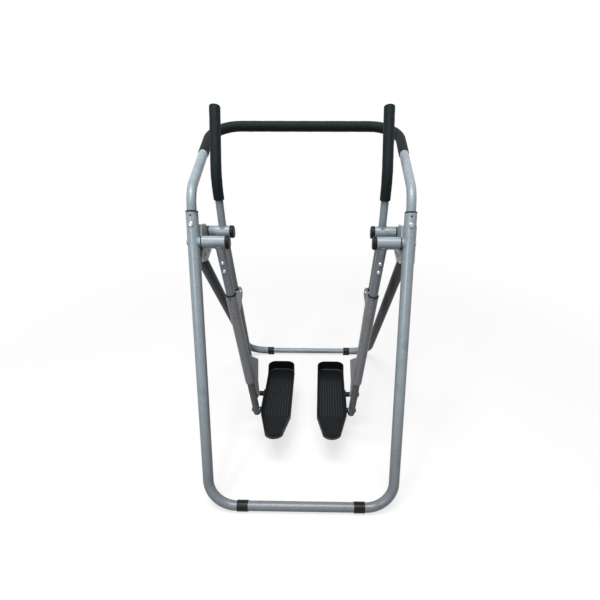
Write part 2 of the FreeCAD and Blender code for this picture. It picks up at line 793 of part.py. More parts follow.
# Feet: straps round the rear rail, and at the front collars that also close the joints of the rail.
for rail_word, rail, outer, bore in (
    ("rear", "rear_rail", "frame_tube / 2 + strap_wall", "frame_tube / 2"),
    ("front", "-rear_rail", "frame_tube / 2", "rail_tube / 2"),
):
    feet = []
    for word, sign in SIDES:
        feet.append(rail_foot(f"{rail_word}_{word}_foot", sign, rail, rail_word + "_foot_length", outer, bore))
    label(group(rail_word + "_feet", feet), rail_word + "_feet")


def arm_frame(piece, sign, row, along="0"):
    """Stand a piece in one arm's own frame: Z runs down the arm from the hub's axis."""
    forward = HUB_FORWARD[row]
    return place(piece, f"{sign} * ({row}_arm_side - ({along}) * sin({row}_tilt))", forward,
                 f"hub_height - ({along}) * cos({row}_tilt)", FORWARD, f"180 + {sign} * {row}_tilt")


HUB_FORWARD = {"rear": "hub_forward", "front": "front_hub_forward"}
PIN_GAP = {"rear": "open_pin_clearance", "front": "pin_clearance"}


def hanging_arm(word, sign, row):
    """One swing arm: hub with its bushes and cap, upper tube, collar, lower tube and foot tube."""
    prefix = f"{word}_{row}"
    forward = HUB_FORWARD[row]
    inner, length, reach = f"{row}_hub_inner", f"{row}_hub_length", f"{row}_reach"
    hub = rod(prefix + "_hub", "hub_tube / 2", length)
    place(hub, f"{sign} * {inner}", forward, "hub_height", FORWARD, f"{sign} * 90")
    upper = rod(prefix + "_upper", "upper_tube / 2", f"{reach} + upper_overlap")
    arm_frame(upper, sign, row)
    bore = rod(prefix + "_bore", "hub_bore / 2", f"2 * {length}")
    place(bore, f"{sign} * ({inner} - {length} / 2)", forward, "hub_height", FORWARD, f"{sign} * 90")
    inside = rod(prefix + "_inside", "upper_tube / 2 - upper_wall", f"{reach} + upper_overlap")
    arm_frame(inside, sign, row, "hub_tube / 2")
    tools = [bore, inside]
    if row == "rear":
        for drop in ("arm_bolt_high", "arm_bolt_low"):
            hole = rod(prefix + "_bolt_hole", "arm_bolt / 2", "2 * upper_tube")
            place(hole, f"{sign} * (rear_arm_side - {drop} * sin(rear_tilt))", f"{forward} + upper_tube",
                  f"hub_height - {drop} * cos(rear_tilt)", ACROSS, "90")
            tools.append(hole)
    arm = cut(prefix + "_arm", fuse(prefix + "_weldment", [hub, upper]), fuse(prefix + "_cores", tools))
    label(arm, prefix + "_arm")
    bush_profile = (
        ("axle_size / 2 + pin_clearance", "0"),
        ("hub_bore / 2", "0"),
        ("hub_bore / 2", "bush_depth"),
        ("hub_tube / 2", "bush_depth"),
        ("hub_tube / 2", "bush_depth + bush_flange"),
        ("axle_size / 2 + pin_clearance", "bush_depth + bush_flange"),
    )
    outer_bush = turned(prefix + "_outer_bush", bush_profile)
    place(outer_bush, f"{sign} * (hub_outer - bush_depth)", forward, "hub_height", FORWARD, f"{sign} * 90")
    inner_bush = turned(prefix + "_inner_bush", bush_profile)
    place(inner_bush, f"{sign} * ({inner} + bush_depth)", forward, "hub_height", FORWARD, f"-{sign} * 90")
    label(group(prefix + "_bushes", [outer_bush, inner_bush]), prefix + "_bushes")
    # The cap's depth is counted from its closed end to its rim, over the washer and screw inside it.
    cap_depth = "bush_flange + rest_gap + end_washer + screw_head + cap_room + cap_wall"
    cap_height = f"({cap_depth} - cap_gap)"
    cap = turned(prefix + "_cap", (
        ("0", "0"),
        ("cap_size / 2 - cap_round", "0"),
        ("cap_size / 2 - 0.3 * cap_round", "0.3 * cap_round"),
        ("cap_size / 2", "cap_round"),
        ("cap_size / 2", cap_height),
        ("hub_tube / 2", cap_height),
        ("hub_tube / 2", f"{cap_height} - bush_flange"),
        ("cap_size / 2 - cap_wall", f"{cap_height} - bush_flange - cap_wall"),
        ("cap_size / 2 - cap_wall", "cap_round"),
        ("cap_size / 2 - cap_wall - 0.5 * cap_round", "cap_wall"),
        ("0", "cap_wall"),
    ))
    place(cap, f"{sign} * ({inner} - ({cap_depth}))", forward, "hub_height", FORWARD, f"{sign} * 90")
    label(cap, prefix + "_cap")
    collar = turned(prefix + "_collar", (
        ("upper_tube / 2", "-arm_collar_lip"),
        ("arm_collar / 2 - 1", "-arm_collar_lip"),
        ("arm_collar / 2", "1 - arm_collar_lip"),
        ("arm_collar / 2", "0"),
        ("lower_tube / 2 - lower_wall", "0"),
        ("lower_tube / 2 - lower_wall", "upper_overlap"),
        ("upper_tube / 2", "upper_overlap"),
    ))
    arm_frame(collar, sign, row, reach)
    label(collar, prefix + "_collar")
    lower = turned(prefix + "_lower_tube", (
        ("lower_tube / 2", reach),
        ("lower_tube / 2", "lower_reach"),
        ("lower_tube / 2 - lower_wall", "lower_reach"),
        ("lower_tube / 2 - lower_wall", "lower_reach - lower_mouth"),
        ("foot_tube / 2", "lower_reach - lower_mouth"),
        ("foot_tube / 2", "lower_reach - lower_mouth - lower_ring"),
        ("lower_tube / 2 - lower_wall", "lower_reach - lower_mouth - lower_ring"),
        ("lower_tube / 2 - lower_wall", reach),
    ))
    # One small hole under the collar, in the side that faces backwards.
    hole = new_sketch(lower, "XZ_Plane")
    circle(hole, "arm_hole / 2", "0", f"{reach} + arm_hole_below")
    pocket = feature(lower, "Pocket", hole, Length="lower_tube")
    pocket.Reversed = True
    arm_frame(lower, sign, row)
    label(lower, prefix + "_lower_tube")
    foot_run = f"(arm_drop / cos({row}_tilt) - lower_reach + foot_tube_overlap)"
    foot_solid = turned(prefix + "_foot_solid", (
        ("0", "0"),
        ("foot_tube / 2", "0"),
        ("foot_tube / 2", f"{foot_run} + foot_tail - foot_round"),
        ("foot_tube / 2 - 0.3 * foot_round", f"{foot_run} + foot_tail - 0.3 * foot_round"),
        ("foot_tube / 2 - foot_round", f"{foot_run} + foot_tail"),
        ("0", f"{foot_run} + foot_tail"),
    ))
    arm_frame(foot_solid, sign, row, "lower_reach - foot_tube_overlap")
    boss = rod(prefix + "_boss", "boss_size / 2", f"{row}_boss_in + boss_out")
    place(boss, f"{sign} * ({row}_foot_side - {row}_boss_in)", forward, "pin_height", FORWARD, f"{sign} * 90")
    foot_core = rod(prefix + "_foot_core", "foot_tube / 2 - foot_tube_wall", f"{foot_run} - boss_size / 2")
    arm_frame(foot_core, sign, row, "lower_reach - foot_tube_overlap")
    pin_bore = rod(prefix + "_pin_bore", f"pedal_pin / 2 + {PIN_GAP[row]}", "4 * (front_boss_in + boss_out)")
    place(pin_bore, f"{sign} * {row}_foot_side - 2 * (front_boss_in + boss_out)", forward, "pin_height",
          FORWARD, "90")
    outside = fuse(prefix + "_foot_outside", [foot_solid, boss])
    foot = cut(prefix + "_foot_tube", outside, fuse(prefix + "_foot_cores", [foot_core, pin_bore]))
    label(foot, prefix + "_foot_tube")


for word, sign in SIDES:
    # Swing arms, front and rear, hung from their hubs.
    hanging_arm(word, sign, "rear")
    hanging_arm(word, sign, "front")

    # Two dome-headed bolts through the upper tube of the rear arm.
    arm_bolts = []
    for drop in ("arm_bolt_high", "arm_bolt_low"):
        x_place = f"{sign} * (rear_arm_side - {drop} * sin(rear_tilt))"
        z_place = f"hub_height - {drop} * cos(rear_tilt)"
        bolt = round_bolt(word + "_arm_bolt", "arm_bolt / 2", "upper_tube + arm_bolt", "arm_bolt", "arm_bolt * 0.7")
        place(bolt, x_place, "hub_forward - upper_tube / 2", z_place, ACROSS, "90")
        arm_bolts.append(bolt)
        arm_nut = nut(word + "_arm_nut", "arm_bolt / 2", "arm_bolt", "arm_bolt * 0.8")
        place(arm_nut, x_place, "hub_forward + upper_tube / 2", z_place, ACROSS, "-90")
        arm_bolts.append(arm_nut)
    label(group(word + "_arm_bolts", arm_bolts), word + "_arm_bolts")

    # Plates welded to the inner side of the front arm: a short ear beside the collar, and a wide
    # plate lower down that runs on to the pin's boss.
    ear = new_body(word + "_ear")
    sketch = new_sketch(ear, "XZ_Plane", "lower_tube / 2 - plate_sheet / 2")
    top = "front_reach - upper_plate_rise"
    beside = "arm_collar / 2 + 1.5"
    polygon(sketch, (
        (f"{sign} * lower_tube / 6", "front_reach + 1"),
        (f"{sign} * ({beside})", "front_reach + 1"),
        (f"{sign} * ({beside})", top),
        (f"{sign} * (upper_plate_reach - 3)", top),
        (f"{sign} * upper_plate_reach", f"{top} + 8"),
        (f"{sign} * upper_plate_reach", f"{top} + 26"),
        (f"{sign} * lower_tube / 3", f"{top} + upper_plate_height"),
        (f"{sign} * lower_tube / 6", f"{top} + upper_plate_height"),
    ))
    circle(sketch, "plate_hole / 2", f"{sign} * (upper_plate_reach - 6)", f"{top} + 17")
    pad = feature(ear, "Pad", sketch, Length="plate_sheet")
    pad.Midplane = True
    strip = new_body(word + "_strip")
    sketch = new_sketch(strip, "XZ_Plane", "foot_tube / 2 - plate_sheet / 2")
    pin_along = "arm_drop / cos(front_tilt)"
    waist = "lower_plate_top + lower_plate_waist_below"
    polygon(sketch, (
        (f"{sign} * lower_tube / 4", "lower_plate_top - 8"),
        (f"{sign} * lower_plate_reach", "lower_plate_top + 12"),
        (f"{sign} * lower_plate_waist", waist),
        (f"{sign} * front_boss_in", f"{pin_along} - boss_size"),
        (f"{sign} * front_boss_in", pin_along),
        (f"{sign} * foot_tube / 4", pin_along),
        (f"{sign} * foot_tube / 4", "lower_reach"),
        (f"{sign} * lower_tube / 4", "lower_reach"),
    ))
    pad = feature(strip, "Pad", sketch, Length="plate_sheet")
    pad.Midplane = True
    for piece in (ear, strip):
        arm_frame(piece, sign, "front")
    core = rod(word + "_plate_core", "lower_tube / 2", "lower_reach")
    arm_frame(core, sign, "front")
    low_core = rod(word + "_plate_low_core", "foot_tube / 2", pin_along)
    arm_frame(low_core, sign, "front")
    boss_core = rod(word + "_plate_boss_core", "boss_size / 2", "4 * front_boss_in")
    place(boss_core, f"{sign} * front_foot_side - 2 * front_boss_in", "front_hub_forward", "pin_height",
          FORWARD, "90")
    cores = fuse(word + "_plate_cores", [core, low_core, boss_core])
    plates = cut(word + "_arm_plates", group(word + "_plates", [ear, strip]), cores)
    label(plates, word + "_arm_plates")


def handle_pipe(body, kind, radius, end):
    """Sweep one round section up the handle: a straight run, one bend and the leaning top."""
    lean = math.radians(size("handle_lean"))
    reach = size("handle_bend") * math.tan(lean / 2)
    straight = size("handle_straight")
    top = size("handle_top")
    reach_text = "handle_bend * tan(handle_lean / 2)"
    top_text = f"(handle_top + {end})"
    runs = (
        (((0, 0, 0), ("0", "0")), ((0, straight - reach, 0), ("0", f"handle_straight - {reach_text}"))),
        (((reach * math.sin(lean), straight + reach * math.cos(lean), 0),
          (f"{reach_text} * sin(handle_lean)", f"handle_straight + {reach_text} * cos(handle_lean)")),
         ((top * math.sin(lean), straight + top * math.cos(lean), 0),
          (f"{top_text} * sin(handle_lean)", f"handle_straight + {top_text} * cos(handle_lean)"))),
    )
    radius_number = size("handle_bend")
    crown = (radius_number * (1 - math.cos(lean / 2)), straight - reach + radius_number * math.sin(lean / 2), 0)
    path = path_sketch(body, "YZ_Plane", runs, (crown,))
    ring = new_sketch(body, "XY_Plane")
    circle(ring, radius)
    pipe = body.newObject("PartDesign::" + kind, body.Name + "_" + kind.lower())
    pipe.Profile = ring
    pipe.Spine = (path, [])
    body.Tip = pipe
    return pipe


for word, sign in SIDES:
    # Swing handle: a bent tube welded on top of the front hub, in a foam sleeve with a closed end.
    here = (f"{sign} * front_arm_side", "front_hub_forward", "hub_height")
    tube = new_body(word + "_handle_bar")
    handle_pipe(tube, "AdditivePipe", "handle_tube / 2", "0")
    handle_pipe(tube, "SubtractivePipe", "handle_tube / 2 - handle_wall", "handle_wall")
    saddle = rod(word + "_saddle", "hub_tube / 2", "2 * hub_tube")
    place(saddle, "-hub_tube", "0", "0", FORWARD, "90")
    handle = cut(word + "_handle_tube", tube, saddle)
    place(handle, *here)
    label(handle, word + "_handle_tube")
    foam_body = new_body(word + "_grip")
    handle_pipe(foam_body, "AdditivePipe", "handle_foam / 2", "handle_foam_end")
    handle_pipe(foam_body, "SubtractivePipe", "handle_tube / 2", "0")
    below = rod(word + "_grip_start", "handle_foam", "handle_foam_start + handle_foam")
    place(below, "0", "0", "-handle_foam")
    grip = cut(word + "_handle_foam", foam_body, below)
    place(grip, *here)
    label(grip, word + "_handle_foam")


def tread_outline(sketch, inset):
    """Outline of the footplate, drawn in by a formula: straight sides, round toe, tapered round heel."""
    half = f"(plate_width / 2 - {inset})"
    heel_half = f"(heel_half - {inset})"
    top = f"(plate_length - {inset})"
    corner = f"(toe_corner - {inset})"
    width = size("plate_width") / 2
    length = size("plate_length")
    bend = size("toe_corner")
    taper = size("heel_taper")
    narrow = size("heel_half")
    rise = size("heel_rise")
    spots = (
        ((width, taper), (half, "heel_taper")),
        ((width, length - bend), (half, f"{top} - {corner}")),
        ((width - bend, length), (f"{half} - {corner}", top)),
        ((bend - width, length), (f"{corner} - {half}", top)),
        ((-width, length - bend), (f"-{half}", f"{top} - {corner}")),
        ((-width, taper), (f"-{half}", "heel_taper")),
        ((-narrow, rise), (f"-{heel_half}", f"heel_rise + {inset} / 2")),
        ((narrow, rise), (heel_half, f"heel_rise + {inset} / 2")),
    )
    vectors = [FreeCAD.Vector(x, y, 0) for (x, y), _ in spots]
    dip = bend * (1 - math.sqrt(0.5))
    crowns = {
        1: FreeCAD.Vector(width - dip, length - dip, 0),
        3: FreeCAD.Vector(dip - width, length - dip, 0),
        6: FreeCAD.Vector(0, 0, 0),
    }
    count = len(spots)
    for step in range(count):
        start, end = vectors[step], vectors[(step + 1) % count]
        if step in crowns:
            sketch.addGeometry(Part.Arc(start, crowns[step], end), False)
        else:
            sketch.addGeometry(Part.LineSegment(start, end), False)
    ends = {}
    for step in range(count):
        first = sketch.getPoint(step, 1)
        ends[step] = (1, 2) if (first - vectors[step]).Length < 1e-3 else (2, 1)
    for step in range(count):
        after = (step + 1) % count
        sketch.addConstraint(Sketcher.Constraint("Coincident", step, ends[step][1], after, ends[after][0]))
    for step in (0, 2, 4, 7):
        pin_point(sketch, step, 1, *spots[step][1])
    for step, spot in ((0, 1), (2, 3), (4, 5)):
        pin_point(sketch, step, 2, *spots[spot][1])
    pin_point(sketch, 5, 2, *spots[6][1])
    for arc in (1, 3):
        index = sketch.addConstraint(Sketcher.Constraint("Radius", arc, bend))
        sketch.setExpression(f"Constraints[{index}]", formula(corner))
    index = sketch.addConstraint(Sketcher.Constraint("Radius", 6, size("heel_radius")))
    sketch.setExpression(f"Constraints[{index}]", formula(f"heel_radius - {inset}"))


SCREW_SPOTS = [(x, y) for y in (-1, 1) for x in (-1, 1)]
PIN_MIDDLE = "(plate_heel + hub_spacing / 2)"


def carrier_spot(x_step, y_step, sign):
    """Place of a footplate screw, measured from the footplate's centre line and heel."""
    x = f"{sign} * (plate_width / 2 - carrier_width / 2) + {x_step} * pedal_screw_side"
    return x, f"{PIN_MIDDLE} + {y_step} * pedal_screw_span / 2"


for word, sign in SIDES:
    heel_forward = "hub_forward - plate_heel"
    # Moulded footplate: a rim, higher round the toe, and inside it a floor with ribs along it.
    wall = new_body(word + "_footplate_rim")
    sketch = new_sketch(wall, "XY_Plane")
    tread_outline(sketch, "0")
    feature(wall, "Pad", sketch, Length="toe_rim")
    hollow = new_sketch(wall, "XY_Plane")
    tread_outline(hollow, "plate_wall")
    pocket = feature(wall, "Pocket", hollow, Length="2 * toe_rim")
    pocket.Reversed = True
    trim = new_sketch(wall, "YZ_Plane")
    polygon(trim, (
        ("-plate_length", "plate_rim"),
        ("plate_length - 2 * toe_ramp", "plate_rim"),
        ("plate_length - toe_ramp", "toe_rim"),
        ("plate_length - toe_ramp", "2 * toe_rim"),
        ("-plate_length", "2 * toe_rim"),
    ))
    trim_cut = feature(wall, "Pocket", trim, Length="2 * plate_width")
    trim_cut.Midplane = True
    place(wall, f"{sign} * plate_side", heel_forward, "plate_under")
    label(wall, word + "_footplate_rim")
    tray = new_body(word + "_footplate")
    sketch = new_sketch(tray, "XY_Plane")
    tread_outline(sketch, "plate_wall")
    feature(tray, "Pad", sketch, Length="plate_base")
    rib = new_sketch(tray, "XY_Plane", "plate_base")
    low_x, high_x = "-rib_span / 2 - rib_width / 2", "-rib_span / 2 + rib_width / 2"
    polygon(rib, (
        (low_x, "rib_start"),
        (high_x, "rib_start"),
        (high_x, "rib_start + rib_length"),
        (low_x, "rib_start + rib_length"),
    ))
    rib_pad = feature(tray, "Pad", rib, Length="rib_height")
    pattern = tray.newObject("PartDesign::LinearPattern", word + "_ribs")
    pattern.Originals = [rib_pad]
    pattern.Direction = (rib, ["H_Axis"])
    bind(pattern, Length="rib_span", Occurrences="rib_count")
    tray.Tip = pattern
    for x_step, y_step in SCREW_SPOTS:
        drill(tray, "XY_Plane", "pedal_screw / 2", *carrier_spot(x_step, y_step, sign))
    seats = new_sketch(tray, "XY_Plane", "plate_base")
    for x_step, y_step in SCREW_SPOTS:
        circle(seats, "pedal_screw_head / 2 + rest_gap", *carrier_spot(x_step, y_step, sign))
    seat_cut = feature(tray, "Pocket", seats, Length="2 * rib_height")
    seat_cut.Reversed = True
    place(tray, f"{sign} * plate_side", heel_forward, "plate_under")
    label(tray, word + "_footplate")

    # Steel carrier: a plate under the tray and, welded on its edge, an ear that holds both pins.
    edge = "plate_width / 2"
    plates = []
    for part_word, corners in (
        ("under", ((f"{edge} - carrier_width", "-carrier_sheet"), (f"{edge} + carrier_sheet", "0"))),
        ("ear", ((edge, "0"), (f"{edge} + carrier_sheet", "plate_drop + carrier_ear"))),
    ):
        plate = new_body(f"{word}_carrier_{part_word}")
        sketch = new_sketch(plate, "XZ_Plane")
        (inner, low), (outer, high) = corners
        polygon(sketch, (
            (f"{sign} * ({inner})", low),
            (f"{sign} * ({outer})", low),
            (f"{sign} * ({outer})", high),
            (f"{sign} * ({inner})", high),
        ))
        pad = feature(plate, "Pad", sketch, Length="carrier_length")
        pad.Midplane = True
        plates.append(plate)
    for along in ("-hub_spacing / 2", "hub_spacing / 2"):
        drill(plates[1], "YZ_Plane", "pedal_pin / 2", along, "plate_drop")
    for x_step, y_step in SCREW_SPOTS:
        x, y = carrier_spot(x_step, y_step, sign)
        drill(plates[0], "XY_Plane", "pedal_screw / 2", x, f"{y} - {PIN_MIDDLE}")
    carrier = group(word + "_pedal_carrier", plates)
    place(carrier, f"{sign} * plate_side", f"{heel_forward} + {PIN_MIDDLE}", "plate_under")
    label(carrier, word + "_pedal_carrier")

    # Pins riveted into the ear, with a collar against the arm's foot and a dome nut outside it.
    pins = []
    for row, forward in HUB_FORWARD.items():
        boss_in = f"({row}_foot_side - {row}_boss_in - ear_side)"
        boss_out = f"({row}_foot_side + boss_out - ear_side)"
        pin = turned(word + "_pedal_pin", (
            ("0", "0"),
            ("pedal_pin / 2", "0"),
            ("pedal_pin / 2", "carrier_sheet"),
            ("pedal_pin_collar / 2", "carrier_sheet"),
            ("pedal_pin_collar / 2", f"{boss_in} - rest_gap"),
            ("pedal_pin / 2", f"{boss_in} - rest_gap"),
            ("pedal_pin / 2", f"{boss_out} + pin_nut_height / 2"),
            ("0", f"{boss_out} + pin_nut_height / 2"),
        ))
        place(pin, f"{sign} * ear_side", forward, "pin_height", FORWARD, f"{sign} * 90")
        pins.append(pin)
        nut_start = f"{boss_out} + rest_gap"
        cap_nut = turned(word + "_pin_nut", (
            ("pedal_pin / 2", nut_start),
            ("pin_nut / 2", nut_start),
            ("pin_nut / 2", f"{nut_start} + pin_nut_height * 0.5"),
            ("pin_nut / 2 * 0.6", f"{nut_start} + pin_nut_height * 0.9"),
            ("0", f"{nut_start} + pin_nut_height"),
            ("0", f"{boss_out} + pin_nut_height / 2"),
            ("pedal_pin / 2", f"{boss_out} + pin_nut_height / 2"),
        ))
        place(cap_nut, f"{sign} * ear_side", forward, "pin_height", FORWARD, f"{sign} * 90")
        pins.append(cap_nut)
    label(group(word + "_pedal_pins", pins), word + "_pedal_pins")

    # Screws that hold the tray on its carrier.
    tray_screws = []
    for x_step, y_step in SCREW_SPOTS:
        x, y = carrier_spot(x_step, y_step, sign)
        screw = round_bolt(word + "_tray_screw", "pedal_screw / 2", "plate_base + carrier_sheet",
                           "pedal_screw_head / 2", "pedal_screw * 0.5")
        place(screw, f"{sign} * plate_side + {x}", f"{heel_forward} + {y}", "plate_under + plate_base")
        tray_screws.append(screw)
    label(group(word + "_tray_screws", tray_screws), word + "_tray_screws")

doc.recompute()

# Check everything before anything is written.
for item in doc.Objects:
    if "Invalid" in item.State or "Error" in item.State:
        raise RuntimeError(f"{item.Label} did not rebuild: {item.State}")
names = [node.Label for node in nodes]
if len(set(names)) != len(names):
    raise RuntimeError("two nodes share a name")
for node in nodes:
    if node.Shape.isNull() or not node.Shape.isValid() or not node.Shape.Solids:
        raise RuntimeError(f"{node.Label} has no valid solid")

os.makedirs("parts", exist_ok=True)
for node in nodes:
    node.Shape.exportStep(os.path.join("parts", node.Label + ".step"))
print(len(nodes), "nodes written")
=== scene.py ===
import math

import bpy
import numpy as np
from mathutils import Euler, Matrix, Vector


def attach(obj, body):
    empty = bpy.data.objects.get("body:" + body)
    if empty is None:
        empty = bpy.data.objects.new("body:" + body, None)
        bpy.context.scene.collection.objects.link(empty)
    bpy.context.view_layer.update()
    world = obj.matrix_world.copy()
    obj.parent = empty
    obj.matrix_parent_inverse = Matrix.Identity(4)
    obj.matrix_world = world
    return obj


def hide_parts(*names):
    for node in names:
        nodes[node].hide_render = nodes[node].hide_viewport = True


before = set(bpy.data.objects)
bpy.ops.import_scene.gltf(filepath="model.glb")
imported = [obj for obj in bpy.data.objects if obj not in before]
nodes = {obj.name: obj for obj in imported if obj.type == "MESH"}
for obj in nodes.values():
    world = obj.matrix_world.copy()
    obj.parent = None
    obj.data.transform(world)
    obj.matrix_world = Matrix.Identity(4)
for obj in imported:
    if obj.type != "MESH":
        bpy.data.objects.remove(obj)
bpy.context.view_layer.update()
scene = bpy.context.scene
SIDES = (("left", -1), ("right", 1))

# Camera
# The photograph was taken from behind the machine, a little above head height, looking down through
# the frame. Its centre of view is below and right of the picture's middle, so the lens is shifted.
PICTURE_SIDE = 600
FOCAL_PIXELS = 406.9
VIEW_CENTRE = (312.8, 380.7)
CAMERA_PLACE = (0.061, -1.429, 1.303)
LOOK_DOWN = math.radians(37.48)
LOOK_RIGHT = math.radians(-1.08)
SENSOR = 36.0
SEEN_AS_FAR_AS = 50.0

camera_data = bpy.data.cameras.new("camera")
camera_data.sensor_width = SENSOR
camera_data.lens = FOCAL_PIXELS * SENSOR / PICTURE_SIDE
camera_data.shift_x = (PICTURE_SIDE / 2 - VIEW_CENTRE[0]) / PICTURE_SIDE
camera_data.shift_y = (VIEW_CENTRE[1] - PICTURE_SIDE / 2) / PICTURE_SIDE
camera_data.clip_end = SEEN_AS_FAR_AS
camera = bpy.data.objects.new("camera", camera_data)
camera.location = CAMERA_PLACE
camera.rotation_euler = Euler((math.pi / 2 - LOOK_DOWN, 0, -LOOK_RIGHT))
scene.collection.objects.link(camera)
scene.camera = camera

# Floor, backdrop and lamps
# A plain white studio: a pale floor that fades into a white surround, one large soft lamp high above,
# and two small ones behind the camera for the shine on rails and legs.
FLOOR_SIDE = 30.0
FLOOR_COLOUR = (0.88, 0.88, 0.88)
FLOOR_BOUNCE = (0.04, 0.04, 0.04)
FLOOR_ROUGH = 0.9
FLOOR_SHINE = 0.05
FLOOR_GLOW = 0.72
FADE_START = 0.9
FADE_END = 2.4
SURROUND_LIGHT = 0.05
LAMPS = (
    ("lamp_above", (-0.3, -0.9, 5.0), (0, 0, 0.3), (3.0, 1.6), 250),
    ("lamp_shine", (-0.5, -2.9, 4.8), (0, 0, 0.2), (0.6, 0.6), 60),
    ("lamp_behind", (-1.5, -3.0, 2.0), (0, 0, 0.6), (0.4, 0.9), 34),
)


def new_material(name):
    """An empty material, its node tree and its shader."""
    material = bpy.data.materials.new(name)
    material.use_nodes = True
    tree = material.node_tree
    return material, tree, tree.nodes["Principled BSDF"]


def add_node(tree, kind, **values):
    """A node of one kind in a tree, with the given sockets set by their names."""
    item = tree.nodes.new(kind)
    for name, value in values.items():
        item.inputs[name.replace("_", " ")].default_value = value
    return item


def math_node(tree, operation, first, second):
    """A sum, product or the like of two numbers or sockets."""
    item = tree.nodes.new("ShaderNodeMath")
    item.operation = operation
    for socket, value in zip(item.inputs, (first, second)):
        if isinstance(value, (int, float)):
            socket.default_value = value
        else:
            tree.links.new(value, socket)
    return item.outputs[0]


def colour_mix(tree, mask, low, high):
    """Blend two colours, or two sockets of colour, by a mask."""
    item = tree.nodes.new("ShaderNodeMix")
    item.data_type = "RGBA"
    tree.links.new(mask, item.inputs["Factor"])
    for socket, value in ((item.inputs["A"], low), (item.inputs["B"], high)):
        if isinstance(value, tuple):
            socket.default_value = (*value, 1)
        else:
            tree.links.new(value, socket)
    return item.outputs["Result"]


def put_mesh(name, vertices, faces):
    """A smooth object from arrays of points and of corner numbers, at the origin and unturned."""
    mesh = bpy.data.meshes.new(name)
    mesh.from_pydata(np.asarray(vertices, float).tolist(), [], [list(map(int, face)) for face in faces])
    mesh.polygons.foreach_set("use_smooth", np.full(len(mesh.polygons), True))
    mesh.update()
    piece = bpy.data.objects.new(name, mesh)
    scene.collection.objects.link(piece)
    return piece


def seen_rays(tree):
    """One for rays that show the background: straight to the camera, off gloss or through glass."""
    path = tree.nodes.new("ShaderNodeLightPath").outputs
    either = math_node(tree, "MAXIMUM", path["Is Camera Ray"], path["Is Glossy Ray"])
    return math_node(tree, "MAXIMUM", either, path["Is Transmission Ray"])


half = FLOOR_SIDE / 2
floor_corners = [(-half, -half, 0), (half, -half, 0), (half, half, 0), (-half, half, 0)]
floor = put_mesh("floor", floor_corners, [(0, 1, 2, 3)])
floor_material, tree, floor_shader = new_material("floor_white")
floor_shader.inputs["Roughness"].default_value = FLOOR_ROUGH
floor_shader.inputs["Specular IOR Level"].default_value = FLOOR_SHINE
seen = seen_rays(tree)
tree.links.new(colour_mix(tree, seen, FLOOR_BOUNCE, FLOOR_COLOUR), floor_shader.inputs["Base Color"])
distance = tree.nodes.new("ShaderNodeVectorMath")
distance.operation = "LENGTH"
tree.links.new(tree.nodes.new("ShaderNodeTexCoord").outputs["Object"], distance.inputs[0])
fade = add_node(
    tree, "ShaderNodeMapRange", From_Min=FADE_START, From_Max=FADE_END, To_Min=FLOOR_GLOW, To_Max=1)
fade.interpolation_type = "SMOOTHSTEP"
tree.links.new(distance.outputs["Value"], fade.inputs["Value"])
glow = add_node(tree, "ShaderNodeEmission", Color=(1, 1, 1, 1), Strength=1)
blend = tree.nodes.new("ShaderNodeMixShader")
tree.links.new(math_node(tree, "MULTIPLY", fade.outputs["Result"], seen), blend.inputs["Fac"])
tree.links.new(floor_shader.outputs["BSDF"], blend.inputs[1])
tree.links.new(glow.outputs["Emission"], blend.inputs[2])
tree.links.new(blend.outputs["Shader"], tree.nodes["Material Output"].inputs["Surface"])
floor.data.materials.append(floor_material)

world = bpy.data.worlds.new("studio")
scene.world = world
world.use_nodes = True
tree = world.node_tree
surround = tree.nodes["Background"]
surround.inputs["Color"].default_value = (1, 1, 1, 1)
strength = add_node(tree, "ShaderNodeMapRange", To_Min=SURROUND_LIGHT, To_Max=1)
tree.links.new(seen_rays(tree), strength.inputs["Value"])
tree.links.new(strength.outputs["Result"], surround.inputs["Strength"])

for name, lamp_place, aim, lamp_size, power in LAMPS:
    lamp_data = bpy.data.lights.new(name, "AREA")
    lamp_data.shape = "RECTANGLE"
    lamp_data.size, lamp_data.size_y = lamp_size
    lamp_data.energy = power
    lamp = bpy.data.objects.new(name, lamp_data)
    lamp.location = lamp_place
    lamp.rotation_euler = (Vector(aim) - Vector(lamp_place)).to_track_quat("-Z", "Y").to_euler()
    scene.collection.objects.link(lamp)

scene.view_settings.view_transform = "Standard"

# Floor frames and handlebar
# Round steel tube of 38 and 30 mm, bent in one piece each and sprayed with a silver paint that has
# fine metal flake in it. Painted shade darkens the rear frame towards the floor and the front legs
# above their bends.
SILVER = (0.215, 0.262, 0.297)
SILVER_LOW = (0.125, 0.148, 0.163)
SILVER_FLAKE = (0.62, 0.67, 0.71)
SILVER_SHINE = 0.42
SILVER_ROUGH = 0.3
SILVER_ROUGH_RUBBED = 0.52
CLOUD_SIZE = 0.085
CLOUD_SHARE = 0.5
CLOUD_EDGE = 0.3
SCUFF_SIZE = 0.012
SCUFF_SHARE = 0.26
SCUFF_EDGE = 0.16
SCUFF_STRENGTH = 0.45
FLAKE_SIZE = 0.0009
FLAKE_SHARE = 0.16
FLAKE_STRENGTH = 0.35
PEEL_SIZE = 0.0022
PEEL_ROUNDNESS = 0.2
PEEL_DEPTH = 0.00001
# Painted shade on the rear frame: none above the first height, growing to the given share at the lower one.
LOW_SHADE = (0.10, 0.10, 0.112)
LOW_SHADE_FROM = 0.45
LOW_SHADE_DOWN_TO = 0.12
LOW_SHADE_MOST = 0.55
# Painted shade on the front frame: none at its bends, growing up the legs to the given share.
SHADED = (0.050, 0.050, 0.052)
SHADED_FROM = 0.04
SHADED_UP_TO = 0.30
SHADED_MOST = 0.7
DULL_SHINE = 0.12


